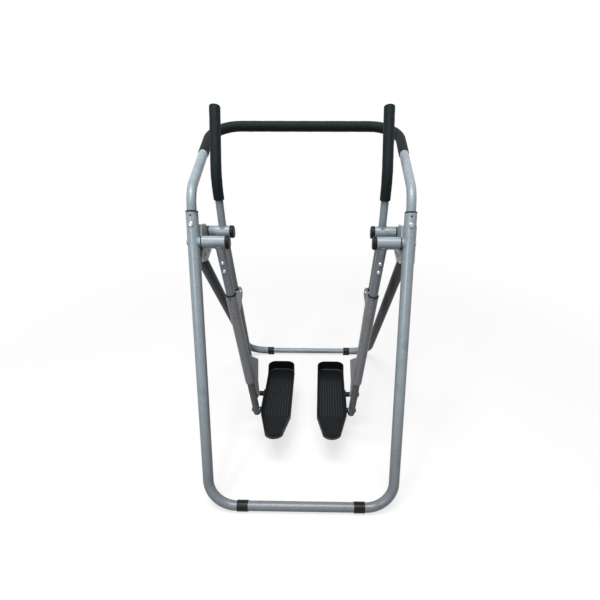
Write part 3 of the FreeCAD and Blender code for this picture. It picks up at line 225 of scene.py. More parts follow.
def new_group(name, numbers, result):
    """A node group that takes a place and named numbers and gives one number, with its two ends."""
    group = bpy.data.node_groups.new(name, "ShaderNodeTree")
    group.interface.new_socket(name="Vector", in_out="INPUT", socket_type="NodeSocketVector")
    for number in numbers:
        group.interface.new_socket(name=number, in_out="INPUT", socket_type="NodeSocketFloat")
    group.interface.new_socket(name=result, in_out="OUTPUT", socket_type="NodeSocketFloat")
    return group, group.nodes.new("NodeGroupInput").outputs, group.nodes.new("NodeGroupOutput").inputs


# Patches: soft clouds of noise, cut off so that only a share of the surface is covered. Noise hardly
# leaves the range from a quarter to three quarters, so the share moves the cut between those two.
NOISE_TOP = 0.75
NOISE_RANGE = 0.5
patches, taken, given = new_group("patches", ("Size", "Share", "Edge"), "Mask")
cloud = add_node(patches, "ShaderNodeTexNoise", Detail=5, Roughness=0.6)
patches.links.new(taken["Vector"], cloud.inputs["Vector"])
patches.links.new(math_node(patches, "DIVIDE", 1.0, taken["Size"]), cloud.inputs["Scale"])
level = math_node(patches, "SUBTRACT", NOISE_TOP, math_node(patches, "MULTIPLY", taken["Share"], NOISE_RANGE))
cut = patches.nodes.new("ShaderNodeMapRange")
cut.interpolation_type = "SMOOTHSTEP"
patches.links.new(cloud.outputs["Fac"], cut.inputs["Value"])
patches.links.new(level, cut.inputs["From Min"])
patches.links.new(math_node(patches, "ADD", level, taken["Edge"]), cut.inputs["From Max"])
patches.links.new(cut.outputs["Result"], given["Mask"])

# Flecks: one random brightness for each small cell, kept for a share of the cells.
flecks, taken, given = new_group("flecks", ("Size", "Share"), "Mask")
cells = flecks.nodes.new("ShaderNodeTexVoronoi")
flecks.links.new(taken["Vector"], cells.inputs["Vector"])
flecks.links.new(math_node(flecks, "DIVIDE", 1.0, taken["Size"]), cells.inputs["Scale"])
cell_colour = flecks.nodes.new("ShaderNodeSeparateColor")
flecks.links.new(cells.outputs["Color"], cell_colour.inputs["Color"])
flecks.links.new(math_node(flecks, "LESS_THAN", cell_colour.outputs["Red"], taken["Share"]), given["Mask"])

# Grain: the height of a fine pebbled or peeled surface, between nought and one.
grain, taken, given = new_group("grain", ("Size", "Roundness"), "Height")
pebbles = grain.nodes.new("ShaderNodeTexVoronoi")
pebbles.feature = "SMOOTH_F1"
pebbles.inputs["Smoothness"].default_value = 0.8
ripples = add_node(grain, "ShaderNodeTexNoise", Detail=3, Roughness=0.5)
cell_scale = math_node(grain, "DIVIDE", 1.0, taken["Size"])
for texture in (pebbles, ripples):
    grain.links.new(taken["Vector"], texture.inputs["Vector"])
    grain.links.new(cell_scale, texture.inputs["Scale"])
mixed = grain.nodes.new("ShaderNodeMix")
grain.links.new(taken["Roundness"], mixed.inputs["Factor"])
grain.links.new(ripples.outputs["Fac"], mixed.inputs["A"])
grain.links.new(pebbles.outputs["Distance"], mixed.inputs["B"])
grain.links.new(mixed.outputs["Result"], given["Height"])


def object_place(tree):
    """The place on the object, in the object's own metres."""
    return tree.nodes.new("ShaderNodeTexCoord").outputs["Object"]


def use_group(tree, group, vector, **values):
    """Place a shared group in a material, fed by a place on the object and its own values."""
    item = tree.nodes.new("ShaderNodeGroup")
    item.node_tree = group
    tree.links.new(vector, item.inputs["Vector"])
    for name, value in values.items():
        item.inputs[name].default_value = value
    return item.outputs[0]


def ranged(tree, mask, low, high):
    """Turn a mask from nought to one into a number from low to high."""
    item = add_node(tree, "ShaderNodeMapRange", To_Min=low, To_Max=high)
    tree.links.new(mask, item.inputs["Value"])
    return item.outputs["Result"]


def raised(tree, shader, height, depth):
    """Bump a shader by a height that stands for so many metres."""
    bump = add_node(tree, "ShaderNodeBump", Strength=1, Distance=depth)
    tree.links.new(height, bump.inputs["Height"])
    tree.links.new(bump.outputs["Normal"], shader.inputs["Normal"])


def flake_paint(name, colour, low, share=FLAKE_SHARE, rough=SILVER_ROUGH, shine=SILVER_SHINE):
    """Sprayed silver paint: clouded colour, bright flakes, rubbed patches and a slight orange peel."""
    material, tree, shader = new_material(name)
    vector = object_place(tree)
    clouds = use_group(tree, patches, vector, Size=CLOUD_SIZE, Share=CLOUD_SHARE, Edge=CLOUD_EDGE)
    scuffs = use_group(tree, patches, vector, Size=SCUFF_SIZE, Share=SCUFF_SHARE, Edge=SCUFF_EDGE)
    sparkle = use_group(tree, flecks, vector, Size=FLAKE_SIZE, Share=share)
    body = colour_mix(tree, clouds, colour, low)
    body = colour_mix(tree, math_node(tree, "MULTIPLY", scuffs, SCUFF_STRENGTH), body, low)
    body = colour_mix(tree, math_node(tree, "MULTIPLY", sparkle, FLAKE_STRENGTH), body, SILVER_FLAKE)
    tree.links.new(body, shader.inputs["Base Color"])
    tree.links.new(ranged(tree, scuffs, rough, SILVER_ROUGH_RUBBED), shader.inputs["Roughness"])
    shader.inputs["Specular IOR Level"].default_value = shine
    raised(tree, shader, use_group(tree, grain, vector, Size=PEEL_SIZE, Roundness=PEEL_ROUNDNESS), PEEL_DEPTH)
    return material


def height_ramp(tree, start, end, most=1.0):
    """Nought at one height of the object's own Z, growing evenly to a share at another."""
    parts = tree.nodes.new("ShaderNodeSeparateXYZ")
    tree.links.new(object_place(tree), parts.inputs["Vector"])
    ramp = add_node(tree, "ShaderNodeMapRange", From_Min=start, From_Max=end, To_Max=most)
    tree.links.new(parts.outputs["Z"], ramp.inputs["Value"])
    return ramp.outputs["Result"]


def lay_over(material, mask, colour):
    """Lay another colour over a material's own one, by a mask in the same tree."""
    tree = material.node_tree
    shader = tree.nodes["Principled BSDF"]
    under = shader.inputs["Base Color"].links[0].from_socket
    tree.links.new(colour_mix(tree, mask, under, colour), shader.inputs["Base Color"])


def dress(material, *names):
    """Give CAD nodes their material."""
    for name in names:
        nodes[name].material_slots[0].material = material


silver_paint = flake_paint("silver_paint", SILVER, SILVER_LOW)
rear_paint = flake_paint("rear_paint", SILVER, SILVER_LOW)
# The rear frame's painted shade, darker towards the floor.
low_shade = height_ramp(rear_paint.node_tree, LOW_SHADE_FROM, LOW_SHADE_DOWN_TO, LOW_SHADE_MOST)
lay_over(rear_paint, low_shade, LOW_SHADE)
front_paint = flake_paint("front_paint", SILVER, SILVER_LOW, rough=SILVER_ROUGH_RUBBED, shine=DULL_SHINE)
# The front legs' painted shade, darker above their bends.
lay_over(front_paint, height_ramp(front_paint.node_tree, SHADED_FROM, SHADED_UP_TO, SHADED_MOST), SHADED)
dress(silver_paint, "front_rail_tube", "handlebar_tube")
dress(rear_paint, "rear_frame_tube")
dress(front_paint, "front_frame_tube")

# Collars and plugs in the leg tops
# Black nylon: rings pressed into the open ends of the rear legs, which the handlebar slides through,
# and plugs that close the tops of the front legs.
NYLON = (0.006, 0.006, 0.007)
NYLON_WORN = (0.016, 0.016, 0.018)
NYLON_GRAIN = 0.0011
NYLON_DEPTH = 0.00004
NYLON_ROUGH = 0.5
PLASTIC_SHINE = 0.14
PEBBLE_ROUNDNESS = 0.7
RUBBED_SIZE = 0.02
RUBBED_SHARE = 0.2
RUBBED_EDGE = 0.2
RUBBED_SMOOTHER = 0.12


def moulded_plastic(name, colour, worn, grain_size, depth, rough, share=RUBBED_SHARE):
    """Moulded black plastic: pebbled by its mould, a little paler and smoother where it is rubbed."""
    material, tree, shader = new_material(name)
    vector = object_place(tree)
    rubbed = use_group(tree, patches, vector, Size=RUBBED_SIZE, Share=share, Edge=RUBBED_EDGE)
    tree.links.new(colour_mix(tree, rubbed, colour, worn), shader.inputs["Base Color"])
    tree.links.new(ranged(tree, rubbed, rough, rough - RUBBED_SMOOTHER), shader.inputs["Roughness"])
    shader.inputs["Specular IOR Level"].default_value = PLASTIC_SHINE
    raised(tree, shader, use_group(tree, grain, vector, Size=grain_size, Roundness=PEBBLE_ROUNDNESS), depth)
    return material


nylon = moulded_plastic("black_nylon", NYLON, NYLON_WORN, NYLON_GRAIN, NYLON_DEPTH, NYLON_ROUGH)
dress(nylon, "collar_rings", "leg_plugs")

# Foam on the handlebar
# A sleeve of closed-cell black foam over the crossbar and both corners, slid on before bending. Its
# skin has fine pores, and its ends are cut square with a softened edge.
LEG_SIDE = 0.3365
LEG_LEAN = math.radians(23.2)
REAR_RAIL = (-0.5225, 0.023)
BAR_RADIUS = 0.015
BAR_FOAM_RADIUS = 0.017
BAR_KNEE = 1.071
BAR_PITCH = math.radians(17.6)
BAR_REACH = 0.427
BAR_FOAM_START = 0.226
BAR_CORNER = 0.105
BAR_FOAM_EDGE = 0.0015
BAR_RINGS = 260
BAR_BORE_RINGS = 200
PATH_STEP = 0.0005
RING_POINTS = 48
EDGE_RINGS = 6
FOAM_SWELL = 0.0001
FOAM_WAVES = ((61, 2, 0, 1.0), (143, -3, 1, 1.0), (290, 1, 2, 0.6))
FOAM = (0.003, 0.0065, 0.0075)
FOAM_DUSTY = (0.010, 0.017, 0.019)
FOAM_ROUGH = 0.62
FOAM_ROUGH_DUSTY = 0.85
FOAM_SHINE = 0.12
FOAM_SHEEN = 0.03
FOAM_SHEEN_ROUGH = 0.5
FOAM_DUST_SIZE = 0.03
FOAM_DUST_SHARE = 0.5
FOAM_DUST_EDGE = 0.35
PORE_SIZE = 0.0011
PORE_ROUNDNESS = 0.85
PORE_DEPTH = 0.00022


def bent_path(lengths, radii, angles):
    """Places along a flat path of straight runs and even bends.

    The heading turns in proportion to the length walked round each bend, and the place is the
    running sum of the heading. Returns lengths walked, places in the plane, and headings."""
    bend_lengths = [radius * angle for radius, angle in zip(radii, angles)]
    total = sum(lengths) + sum(bend_lengths)
    walked = np.linspace(0, total, int(total / PATH_STEP) + 1)
    heading = np.zeros_like(walked)
    start = 0.0
    for run, bend, angle in zip(lengths, bend_lengths, angles):
        start += run
        heading += np.clip((walked - start) / bend, 0, 1) * angle
        start += bend
    pace = walked[1] - walked[0]
    middle = (heading[1:] + heading[:-1]) / 2
    along = np.concatenate([[0], np.cumsum(np.cos(middle)) * pace])
    aside = np.concatenate([[0], np.cumsum(np.sin(middle)) * pace])
    return walked, np.stack([along, aside], axis=1), heading


def ring_faces(rows, columns, joined=False):
    """Corner numbers of a grid of four-sided faces that closes round its columns, and on request
    round its rows."""
    numbers = np.arange(rows * columns).reshape(rows, columns)
    beside = np.roll(numbers, -1, axis=1)
    above = np.roll(numbers, -1, axis=0)
    corner = np.roll(beside, -1, axis=0)
    grid = np.stack([numbers, beside, corner, above], axis=-1)
    return (grid if joined else grid[:-1]).reshape(-1, 4)


def sleeve(path, origin, along, aside, stations, radii, full_radius):
    """Rings of points round a flat path.

    A point is the path's place at its station, plus its radius times the cosine of the turn on the
    path's own side and the sine of the turn on the plane's normal. Where the radius is the full one,
    it swells and sinks a little with the sum of three slow waves, as foam does."""
    walked, flat, heading = path
    origin, along, aside = (np.asarray(item, float) for item in (origin, along, aside))
    across = np.cross(along, aside)
    angle = np.interp(stations, walked, heading)
    spot = np.interp(stations, walked, flat[:, 0])[:, None] * along
    spot = spot + np.interp(stations, walked, flat[:, 1])[:, None] * aside + origin
    side = np.cos(angle)[:, None] * aside - np.sin(angle)[:, None] * along
    turn = np.linspace(0, 2 * math.pi, RING_POINTS, endpoint=False)
    wave = sum(
        share * np.sin(stations[:, None] * per_metre + per_turn * turn + start)
        for per_metre, per_turn, start, share in FOAM_WAVES)
    swell = np.where(np.isclose(radii, full_radius), FOAM_SWELL, 0.0)
    reach = radii[:, None] + swell[:, None] * wave
    outward = np.cos(turn)[None, :, None] * side[:, None, :] + np.sin(turn)[None, :, None] * across
    return spot[:, None, :] + reach[..., None] * outward


def rounded_end(start, inner, outer, edge):
    """Stations and radii from the bore out over a square-cut end with a softened edge."""
    quarter = np.linspace(0, math.pi / 2, EDGE_RINGS)
    stations = np.concatenate([[start, start], start + edge * (1 - np.cos(quarter))])
    radii = np.concatenate([[inner, (inner + outer - edge) / 2], outer - edge * (1 - np.sin(quarter))])
    return stations, radii


def foam_skin(name):
    """Closed-cell foam: open pores in a soft, slightly dusty black skin."""
    material, tree, shader = new_material(name)
    vector = object_place(tree)
    dust = use_group(
        tree, patches, vector, Size=FOAM_DUST_SIZE, Share=FOAM_DUST_SHARE, Edge=FOAM_DUST_EDGE)
    tree.links.new(colour_mix(tree, dust, FOAM, FOAM_DUSTY), shader.inputs["Base Color"])
    tree.links.new(ranged(tree, dust, FOAM_ROUGH, FOAM_ROUGH_DUSTY), shader.inputs["Roughness"])
    shader.inputs["Specular IOR Level"].default_value = FOAM_SHINE
    shader.inputs["Sheen Weight"].default_value = FOAM_SHEEN
    shader.inputs["Sheen Roughness"].default_value = FOAM_SHEEN_ROUGH
    raised(tree, shader, use_group(tree, grain, vector, Size=PORE_SIZE, Roundness=PORE_ROUNDNESS), PORE_DEPTH)
    return material


foam_black = foam_skin("black_foam")
leg_along = np.array([0, math.sin(LEG_LEAN), math.cos(LEG_LEAN)])
leg_ahead = np.array([0, math.cos(LEG_LEAN), -math.sin(LEG_LEAN)])
corner_run = BAR_REACH - BAR_CORNER - BAR_FOAM_START
crossbar = 2 * (LEG_SIDE - BAR_CORNER)
bar_path = bent_path((corner_run, crossbar, corner_run), (BAR_CORNER, BAR_CORNER), (math.pi / 2, math.pi / 2))
bar_length = bar_path[0][-1]
end_stations, end_radii = rounded_end(0.0, BAR_RADIUS, BAR_FOAM_RADIUS, BAR_FOAM_EDGE)
middle_stations = np.linspace(BAR_FOAM_EDGE, bar_length - BAR_FOAM_EDGE, BAR_RINGS)[1:-1]
bore_stations = np.linspace(bar_length, 0, BAR_BORE_RINGS)[1:-1]
bar_stations = np.concatenate([end_stations, middle_stations, bar_length - end_stations[::-1], bore_stations])
bar_radii = np.concatenate([
    end_radii, np.full(len(middle_stations), BAR_FOAM_RADIUS), end_radii[::-1],
    np.full(len(bore_stations), BAR_RADIUS)])
bar_out = np.array([0, math.cos(BAR_PITCH), math.sin(BAR_PITCH)])
bar_start = np.array([-LEG_SIDE, *REAR_RAIL]) + BAR_KNEE * leg_along + BAR_FOAM_START * bar_out
rings = sleeve(bar_path, bar_start, bar_out, (1, 0, 0), bar_stations, bar_radii, BAR_FOAM_RADIUS)
bar_foam = put_mesh(
    "handlebar_foam_sleeve", rings.reshape(-1, 3), ring_faces(len(bar_stations), RING_POINTS, joined=True))
bar_foam.data.materials.append(foam_black)
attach(bar_foam, "rear_frame")
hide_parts("handlebar_foam")

# Bolts through the leg tops
# Dome-headed bolts with hexagon nuts, of bright zinc-plated steel, one through each leg to pin the
# handlebar in it. Their plating has dulled in patches.
ZINC = (0.40, 0.41, 0.43)
ZINC_DULL = (0.24, 0.24, 0.25)
ZINC_ROUGH = 0.3
ZINC_DULL_SHARE = 0.4
PLATING_DULLER = 0.2
PLATING_CLOUD = 0.006
PLATING_EDGE = 0.25
PLATING_GRAIN = 0.0012
PLATING_ROUNDNESS = 0.3
PLATING_DEPTH = 0.000015


def plated_steel(name, colour, dull, rough, share):
    """Plated steel: bright, with dull clouds and fine grain in the plating."""
    material, tree, shader = new_material(name)
    vector = object_place(tree)
    clouds = use_group(tree, patches, vector, Size=PLATING_CLOUD, Share=share, Edge=PLATING_EDGE)
    tree.links.new(colour_mix(tree, clouds, colour, dull), shader.inputs["Base Color"])
    tree.links.new(ranged(tree, clouds, rough, rough + PLATING_DULLER), shader.inputs["Roughness"])
    shader.inputs["Metallic"].default_value = 1
    fine_grain = use_group(tree, grain, vector, Size=PLATING_GRAIN, Roundness=PLATING_ROUNDNESS)
    raised(tree, shader, fine_grain, PLATING_DEPTH)
    return material


bright_steel = plated_steel("bright_steel", ZINC, ZINC_DULL, ZINC_ROUGH, ZINC_DULL_SHARE)
dress(bright_steel, "handlebar_bolts")

# Hinge brackets
# Channels folded from 3 mm sheet and welded along the front of the rear legs. Their paint is thinner
# and paler than the tubes', mottled where the sheet shows through.
BRACKET = (0.34, 0.365, 0.38)
BRACKET_THIN = (0.20, 0.215, 0.225)
BRACKET_FLAKES = 0.2
BRACKET_ROUGH = 0.34
bracket_paint = flake_paint("bracket_paint", BRACKET, BRACKET_THIN, BRACKET_FLAKES, BRACKET_ROUGH)
dress(bracket_paint, "left_hinge_bracket", "right_hinge_bracket")

# Axles, screws, fold bolts and stop rollers
# Turned steel axles welded through the legs and brackets and painted with them, zinc screws with
# wide washers in their ends, zinc bolts for the fold, and a black rubber roller on each stop bolt.
BOLT_DULL = (0.13, 0.13, 0.135)
BOLT_ROUGH = 0.38
BOLT_DULL_SHARE = 0.5
RUBBER = (0.009, 0.009, 0.010)
RUBBER_DUSTY = (0.022, 0.022, 0.023)
RUBBER_GRAIN = 0.0016
RUBBER_DEPTH = 0.00005
RUBBER_ROUGH = 0.72
RUBBER_DUST_SHARE = 0.35
zinc_steel = plated_steel("zinc_steel", ZINC_DULL, BOLT_DULL, BOLT_ROUGH, BOLT_DULL_SHARE)
dress(zinc_steel, "axle_screws", "bracket_bolts", "fold_washers")
dress(silver_paint, "rear_axles", "front_axles")
black_rubber = moulded_plastic(
    "black_rubber", RUBBER, RUBBER_DUSTY, RUBBER_GRAIN, RUBBER_DEPTH, RUBBER_ROUGH, RUBBER_DUST_SHARE)
dress(black_rubber, "stop_rollers")

# Feet
# Moulded black plastic with a flat sole: straps pushed round the rear rail, and at the front collars
# that also close the joints between the bent legs and the thinner rail.
FOOT_BLACK = (0.007, 0.007, 0.008)
FOOT_WORN = (0.016, 0.016, 0.017)
FOOT_GRAIN = 0.0016
FOOT_DEPTH = 0.00003
FOOT_ROUGH = 0.34
foot_plastic = moulded_plastic("foot_plastic", FOOT_BLACK, FOOT_WORN, FOOT_GRAIN, FOOT_DEPTH, FOOT_ROUGH)
dress(foot_plastic, "rear_feet", "front_feet")

# Swing arms
# Each arm is a short hub tube with an upper tube welded to it, which plugs into a wider lower tube
# and a thin foot tube. All are sprayed silver; the upper, lower and foot tubes carry darker copies of
# it as painted shade, deepest on the foot tubes.
HUB_Z = 0.871367
HUB_RADIUS = 0.019
# A darker copy of the silver, as painted shade on the lower tubes.
LOWER_TUBE_SHADED = (0.175, 0.175, 0.187)
LOWER_TUBE_SHADED_LOW = (0.105, 0.098, 0.098)
# Painted shade laid over the upper tubes, starting just under the hub.
UPPER_TUBE_SHADED = (0.11, 0.106, 0.13)
UPPER_TUBE_SHADE_FADE = 0.015
UPPER_TUBE_SHADE_MOST = 0.6
# Darker still: painted shade on the foot tubes.
FOOT_TUBE_SHADED = (0.085, 0.082, 0.09)
FOOT_TUBE_SHADED_LOW = (0.05, 0.047, 0.05)
FOOT_TUBE_SHINE = 0.3
hub_and_shaded_arm_paint = flake_paint("hub_and_shaded_arm_paint", SILVER, SILVER_LOW)
hub_under = HUB_Z - HUB_RADIUS
# The upper tubes' painted shade, from just under the hub downwards.
upper_tube_shade = height_ramp(hub_and_shaded_arm_paint.node_tree, hub_under, hub_under - UPPER_TUBE_SHADE_FADE, UPPER_TUBE_SHADE_MOST)
lay_over(hub_and_shaded_arm_paint, upper_tube_shade, UPPER_TUBE_SHADED)
shaded_arm_paint = flake_paint("shaded_arm_paint", LOWER_TUBE_SHADED, LOWER_TUBE_SHADED_LOW)
shaded_foot_tube_paint = flake_paint(
    "shaded_foot_tube_paint", FOOT_TUBE_SHADED, FOOT_TUBE_SHADED_LOW, rough=SILVER_ROUGH_RUBBED, shine=FOOT_TUBE_SHINE)
for word, _ in SIDES:
    dress(hub_and_shaded_arm_paint, f"{word}_rear_arm", f"{word}_front_arm")
    dress(shaded_arm_paint, f"{word}_rear_lower_tube", f"{word}_front_lower_tube")
    dress(shaded_foot_tube_paint, f"{word}_rear_foot_tube", f"{word}_front_foot_tube")
    dress(bracket_paint, f"{word}_arm_plates")

# Bushes, caps, arm collars and arm bolts
# Black nylon: flanged bushes in both ends of each hub, a domed cap over its inner end, and a collar
# where the upper tube enters the lower one. Two bright bolts go through each rear upper tube.
for word, _ in SIDES:
    for row in ("rear", "front"):
        dress(nylon, f"{word}_{row}_bushes", f"{word}_{row}_cap", f"{word}_{row}_collar")
    dress(bright_steel, f"{word}_arm_bolts")

# Welds
# Rippled beads of weld metal under the paint, laid by hand round every joint of tube to hub and axle
# to leg, and along both edges of each bracket.
HUB_Y = {"rear": -0.158893, "front": -0.053893}
ARM_SIDE = {"rear": 0.2565, "front": 0.2640}
ARM_TILT = {"rear": math.radians(4.8), "front": math.radians(3.7)}
UPPER_RADIUS = 0.015
HANDLE_RADIUS = 0.0127
LEG_RADIUS = 0.019
SHOULDER_RADIUS = 0.014
WEB_AHEAD = 0.013
WEB_LOW = -0.058
WEB_HIGH = 0.046
BEAD_RADIUS = 0.0026
WEB_BEAD_RADIUS = 0.0024
BEAD_PITCH = 0.0028
BEAD_RIPPLE = 0.22
BEAD_STEP = 0.0005
BEAD_POINTS = 10
BEAD_TAPER = 1.5
BEAD_TIP = 0.02


def bead(places, outward, closed=True, radius=BEAD_RADIUS):
    """A weld bead carried along a line of places.

    Each ring is a circle in the plane across the line, whose radius grows and falls with the size
    of a sine along the line, once for each ripple. An open bead shrinks to a tip at its ends."""
    if closed:
        ahead = np.roll(places, -1, axis=0) - np.roll(places, 1, axis=0)
    else:
        ahead = np.gradient(places, axis=0)
    ahead = ahead / np.linalg.norm(ahead, axis=1, keepdims=True)
    side = outward - (outward * ahead).sum(axis=1, keepdims=True) * ahead
    side = side / np.linalg.norm(side, axis=1, keepdims=True)
    across = np.cross(ahead, side)
    walked = np.concatenate([[0], np.cumsum(np.linalg.norm(np.diff(places, axis=0), axis=1))])
    whole = walked[-1] + (np.linalg.norm(places[0] - places[-1]) if closed else 0)
    ripples = max(2, round(whole / BEAD_PITCH))
    size = radius * (1 - BEAD_RIPPLE + BEAD_RIPPLE * np.abs(np.sin(math.pi * ripples * walked / whole)))
    if not closed:
        from_end = np.minimum(walked, whole - walked)
        size = size * np.sqrt(np.clip(from_end / (BEAD_TAPER * radius), BEAD_TIP, 1))
    turn = np.linspace(0, 2 * math.pi, BEAD_POINTS, endpoint=False)
    ring = np.cos(turn)[None, :, None] * side[:, None, :] + np.sin(turn)[None, :, None] * across[:, None, :]
    points = (places[:, None, :] + size[:, None, None] * ring).reshape(-1, 3)
    faces = ring_faces(len(places), BEAD_POINTS, joined=closed).tolist()
    if not closed:
        faces.append(list(range(BEAD_POINTS))[::-1])
        faces.append(list(range(len(points) - BEAD_POINTS, len(points))))
    return points, faces


def saddle_line(middle, down, inward, radius):
    """The line where a round tube meets a hub that lies along X.

    A place is the tube's circle at each turn, moved along the tube until its distance from the
    hub's axis equals the hub's radius."""
    middle, down, inward = (np.asarray(item, float) for item in (middle, down, inward))
    turn = np.linspace(0, 2 * math.pi, int(2 * math.pi * radius / BEAD_STEP), endpoint=False)
    outward = np.cos(turn)[:, None] * inward + np.sin(turn)[:, None] * np.cross(down, inward)
    circle = radius * outward
    height = np.sqrt(HUB_RADIUS ** 2 - circle[:, 1] ** 2) * np.sign(down[2])
    slide = (height - circle[:, 2]) / down[2]
    return middle + circle + slide[:, None] * down, outward


def joined_beads(name, body, lines):
    """One painted object of several beads, riding on a body."""
    points, faces, first = [], [], 0
    for bead_points, bead_faces in lines:
        points.append(bead_points)
        faces += [[corner + first for corner in face] for face in bead_faces]
        first += len(bead_points)
    piece = put_mesh(name, np.concatenate(points), faces)
    piece.data.materials.append(silver_paint)
    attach(piece, body)


for word, sign in SIDES:
    for row in ("rear", "front"):
        tilt = ARM_TILT[row]
        hub = (sign * ARM_SIDE[row], HUB_Y[row], HUB_Z)
        down = (-sign * math.sin(tilt), 0, -math.cos(tilt))
        inward = (-math.cos(tilt), 0, sign * math.sin(tilt))
        lines = [bead(*saddle_line(hub, down, inward, UPPER_RADIUS))]
        if row == "front":
            lines.append(bead(*saddle_line(hub, (0, 0, 1), (1, 0, 0), HANDLE_RADIUS)))
        joined_beads(f"{word}_{row}_hub_welds", f"{word}_{row}_arm", lines)

frame_lines = []
for word, sign in SIDES:
    turn = np.linspace(0, 2 * math.pi, int(2 * math.pi * SHOULDER_RADIUS / BEAD_STEP), endpoint=False)
    outward = np.cos(turn)[:, None] * leg_ahead + np.sin(turn)[:, None] * leg_along
    ring = SHOULDER_RADIUS * outward + np.array([0, HUB_Y["rear"], HUB_Z])
    ring[:, 0] = sign * (LEG_SIDE - np.sqrt(LEG_RADIUS ** 2 - (SHOULDER_RADIUS * np.cos(turn)) ** 2))
    frame_lines.append(bead(ring, outward))
    walk = np.linspace(WEB_LOW, WEB_HIGH, int((WEB_HIGH - WEB_LOW) / BEAD_STEP))
    for edge in (-1, 1):
        beside = edge * math.sqrt(LEG_RADIUS ** 2 - WEB_AHEAD ** 2)
        seam = walk[:, None] * leg_along + WEB_AHEAD * leg_ahead
        seam = seam + np.array([sign * LEG_SIDE + beside, HUB_Y["rear"], HUB_Z])
        edge_way = np.tile([edge, 0.0, 0.0], (len(walk), 1))
        frame_lines.append(bead(seam, edge_way, closed=False, radius=WEB_BEAD_RADIUS))
joined_beads("bracket_welds", "rear_frame", frame_lines)

# Handles
# Each is a 25 mm tube bent forward by thirty degrees, welded on top of the front hub, in a foam
# sleeve whose top is moulded shut.
HANDLE_STRAIGHT = 0.165
HANDLE_TOP = 0.200
HANDLE_BEND = 0.150
HANDLE_LEAN = math.radians(30)
GRIP_RADIUS = 0.017
GRIP_START = 0.100
GRIP_PAST_TUBE = 0.004
GRIP_EDGE = 0.0022
TOP_ROUND = 0.002
TOP_RINGS = 9
GRIP_RINGS = 130
GRIP_BORE_RINGS = 60


def with_poles(rings):
    """Points and faces of a run of rings whose first and last ring each close on a point."""
    rows, columns = rings.shape[:2]
    points = np.concatenate([rings.reshape(-1, 3), rings[[0, -1]].mean(axis=1)])
    wheel = np.arange(columns)
    after = np.roll(wheel, -1)
    last = (rows - 1) * columns
    pole = np.full(columns, rows * columns)
    faces = ring_faces(rows, columns).tolist()
    faces += np.stack([after, wheel, pole], axis=1).tolist()
    faces += np.stack([last + wheel, last + after, pole + 1], axis=1).tolist()
    return points, faces


dress(silver_paint, "left_handle_tube", "right_handle_tube")
bend_reach = HANDLE_BEND * math.tan(HANDLE_LEAN / 2)
handle_runs = (HANDLE_STRAIGHT - bend_reach, HANDLE_TOP - bend_reach + GRIP_PAST_TUBE)
handle_path = bent_path(handle_runs, (HANDLE_BEND,), (HANDLE_LEAN,))
handle_length = handle_path[0][-1]
bore_stations = np.linspace(handle_length - GRIP_PAST_TUBE, GRIP_START, GRIP_BORE_RINGS)[:-1]
foot_stations, foot_radii = rounded_end(GRIP_START, HANDLE_RADIUS, GRIP_RADIUS, GRIP_EDGE)
middle_stations = np.linspace(GRIP_START + GRIP_EDGE, handle_length - TOP_ROUND, GRIP_RINGS)[1:-1]
dome = np.linspace(0, math.pi / 2, TOP_RINGS)
top_stations = handle_length - TOP_ROUND * (1 - np.sin(dome))
top_radii = GRIP_RADIUS - TOP_ROUND * (1 - np.cos(dome))
grip_stations = np.concatenate([bore_stations, foot_stations, middle_stations, top_stations])
grip_radii = np.concatenate([
    np.full(len(bore_stations), HANDLE_RADIUS), foot_radii,
    np.full(len(middle_stations), GRIP_RADIUS), top_radii])
for word, sign in SIDES:
    base = (sign * ARM_SIDE["front"], HUB_Y["front"], HUB_Z)
    rings = sleeve(handle_path, base, (0, 0, 1), (0, 1, 0), grip_stations, grip_radii, GRIP_RADIUS)
    grip = put_mesh(f"{word}_handle_grip", *with_poles(rings))
    grip.data.materials.append(foam_black)
    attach(grip, f"{word}_front_arm")
    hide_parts(f"{word}_handle_foam")

# Footplates
# Long trays moulded in black plastic, with a pebbled floor, ribs along the tread and a higher wall
# round the toe. The rib tops are paler, partly wear and partly painted highlight, and a pale band runs
# along the foot of the wall.
TREAD = (0.0025, 0.0035, 0.0045)
TREAD_WORN = (0.008, 0.010, 0.012)
TREAD_GRAIN = 0.0017
TREAD_DEPTH = 0.00012
TREAD_ROUGH = 0.56
TREAD_WORN_SHARE = 0.35
TREAD_FLOOR = 0.157867
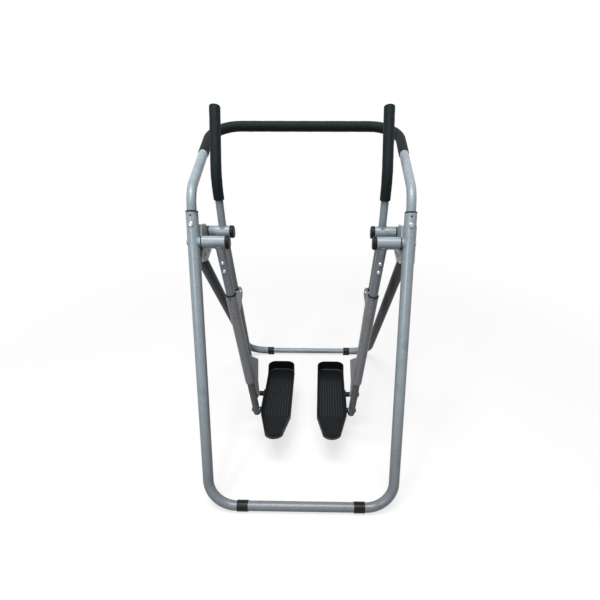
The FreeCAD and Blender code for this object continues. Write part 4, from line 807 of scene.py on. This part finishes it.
# Paler rib tops: wear and painted highlight.
RIB_WORN_AND_LIT = (0.020, 0.025, 0.030)
RIB_TOP = 0.0018
RIB_LIT_FROM = 0.8
RIB_BLUR = 0.3
# A paler band along the foot of the rim's wall, just above the tray floor.
RIM_FOOT_PALE = (0.11, 0.125, 0.13)
RIM_FOOT_BAND = 0.004


def add_band(material, low, high, blur, colour):
    """Lay another colour over a material's own one between two heights."""
    tree = material.node_tree
    above = height_ramp(tree, low - blur, low)
    below = height_ramp(tree, high + blur, high)
    lay_over(material, math_node(tree, "MULTIPLY", above, below), colour)


tread_plastic, rim_plastic = (
    moulded_plastic(name, TREAD, TREAD_WORN, TREAD_GRAIN, TREAD_DEPTH, TREAD_ROUGH, TREAD_WORN_SHARE)
    for name in ("tread_plastic", "rim_plastic"))
rib_low = TREAD_FLOOR + RIB_TOP * RIB_LIT_FROM
# The rib tops, painted lighter as worn plastic and as painted highlight.
add_band(tread_plastic, rib_low, TREAD_FLOOR + 2 * RIB_TOP, RIB_TOP * RIB_BLUR, RIB_WORN_AND_LIT)
# The pale band along the foot of the rim's wall.
add_band(rim_plastic, TREAD_FLOOR, TREAD_FLOOR + RIM_FOOT_BAND, RIM_FOOT_BAND / 2, RIM_FOOT_PALE)
for word, _ in SIDES:
    dress(tread_plastic, f"{word}_footplate")
    dress(rim_plastic, f"{word}_footplate_rim")

# Footplate carriers, pins and screws
# Black painted steel: a plate under each tray with an ear welded on its edge, pins riveted into the
# ear with low dome nuts in the arms' feet, and screws down through the tray.
CARRIER = (0.008, 0.008, 0.009)
CARRIER_WORN = (0.022, 0.022, 0.023)
CARRIER_GRAIN = 0.0009
CARRIER_DEPTH = 0.00002
CARRIER_ROUGH = 0.42
CARRIER_WORN_SHARE = 0.25
black_paint = moulded_plastic(
    "black_paint", CARRIER, CARRIER_WORN, CARRIER_GRAIN, CARRIER_DEPTH, CARRIER_ROUGH, CARRIER_WORN_SHARE)
for word, _ in SIDES:
    dress(black_paint, f"{word}_pedal_carrier", f"{word}_tray_screws", f"{word}_pedal_pins")
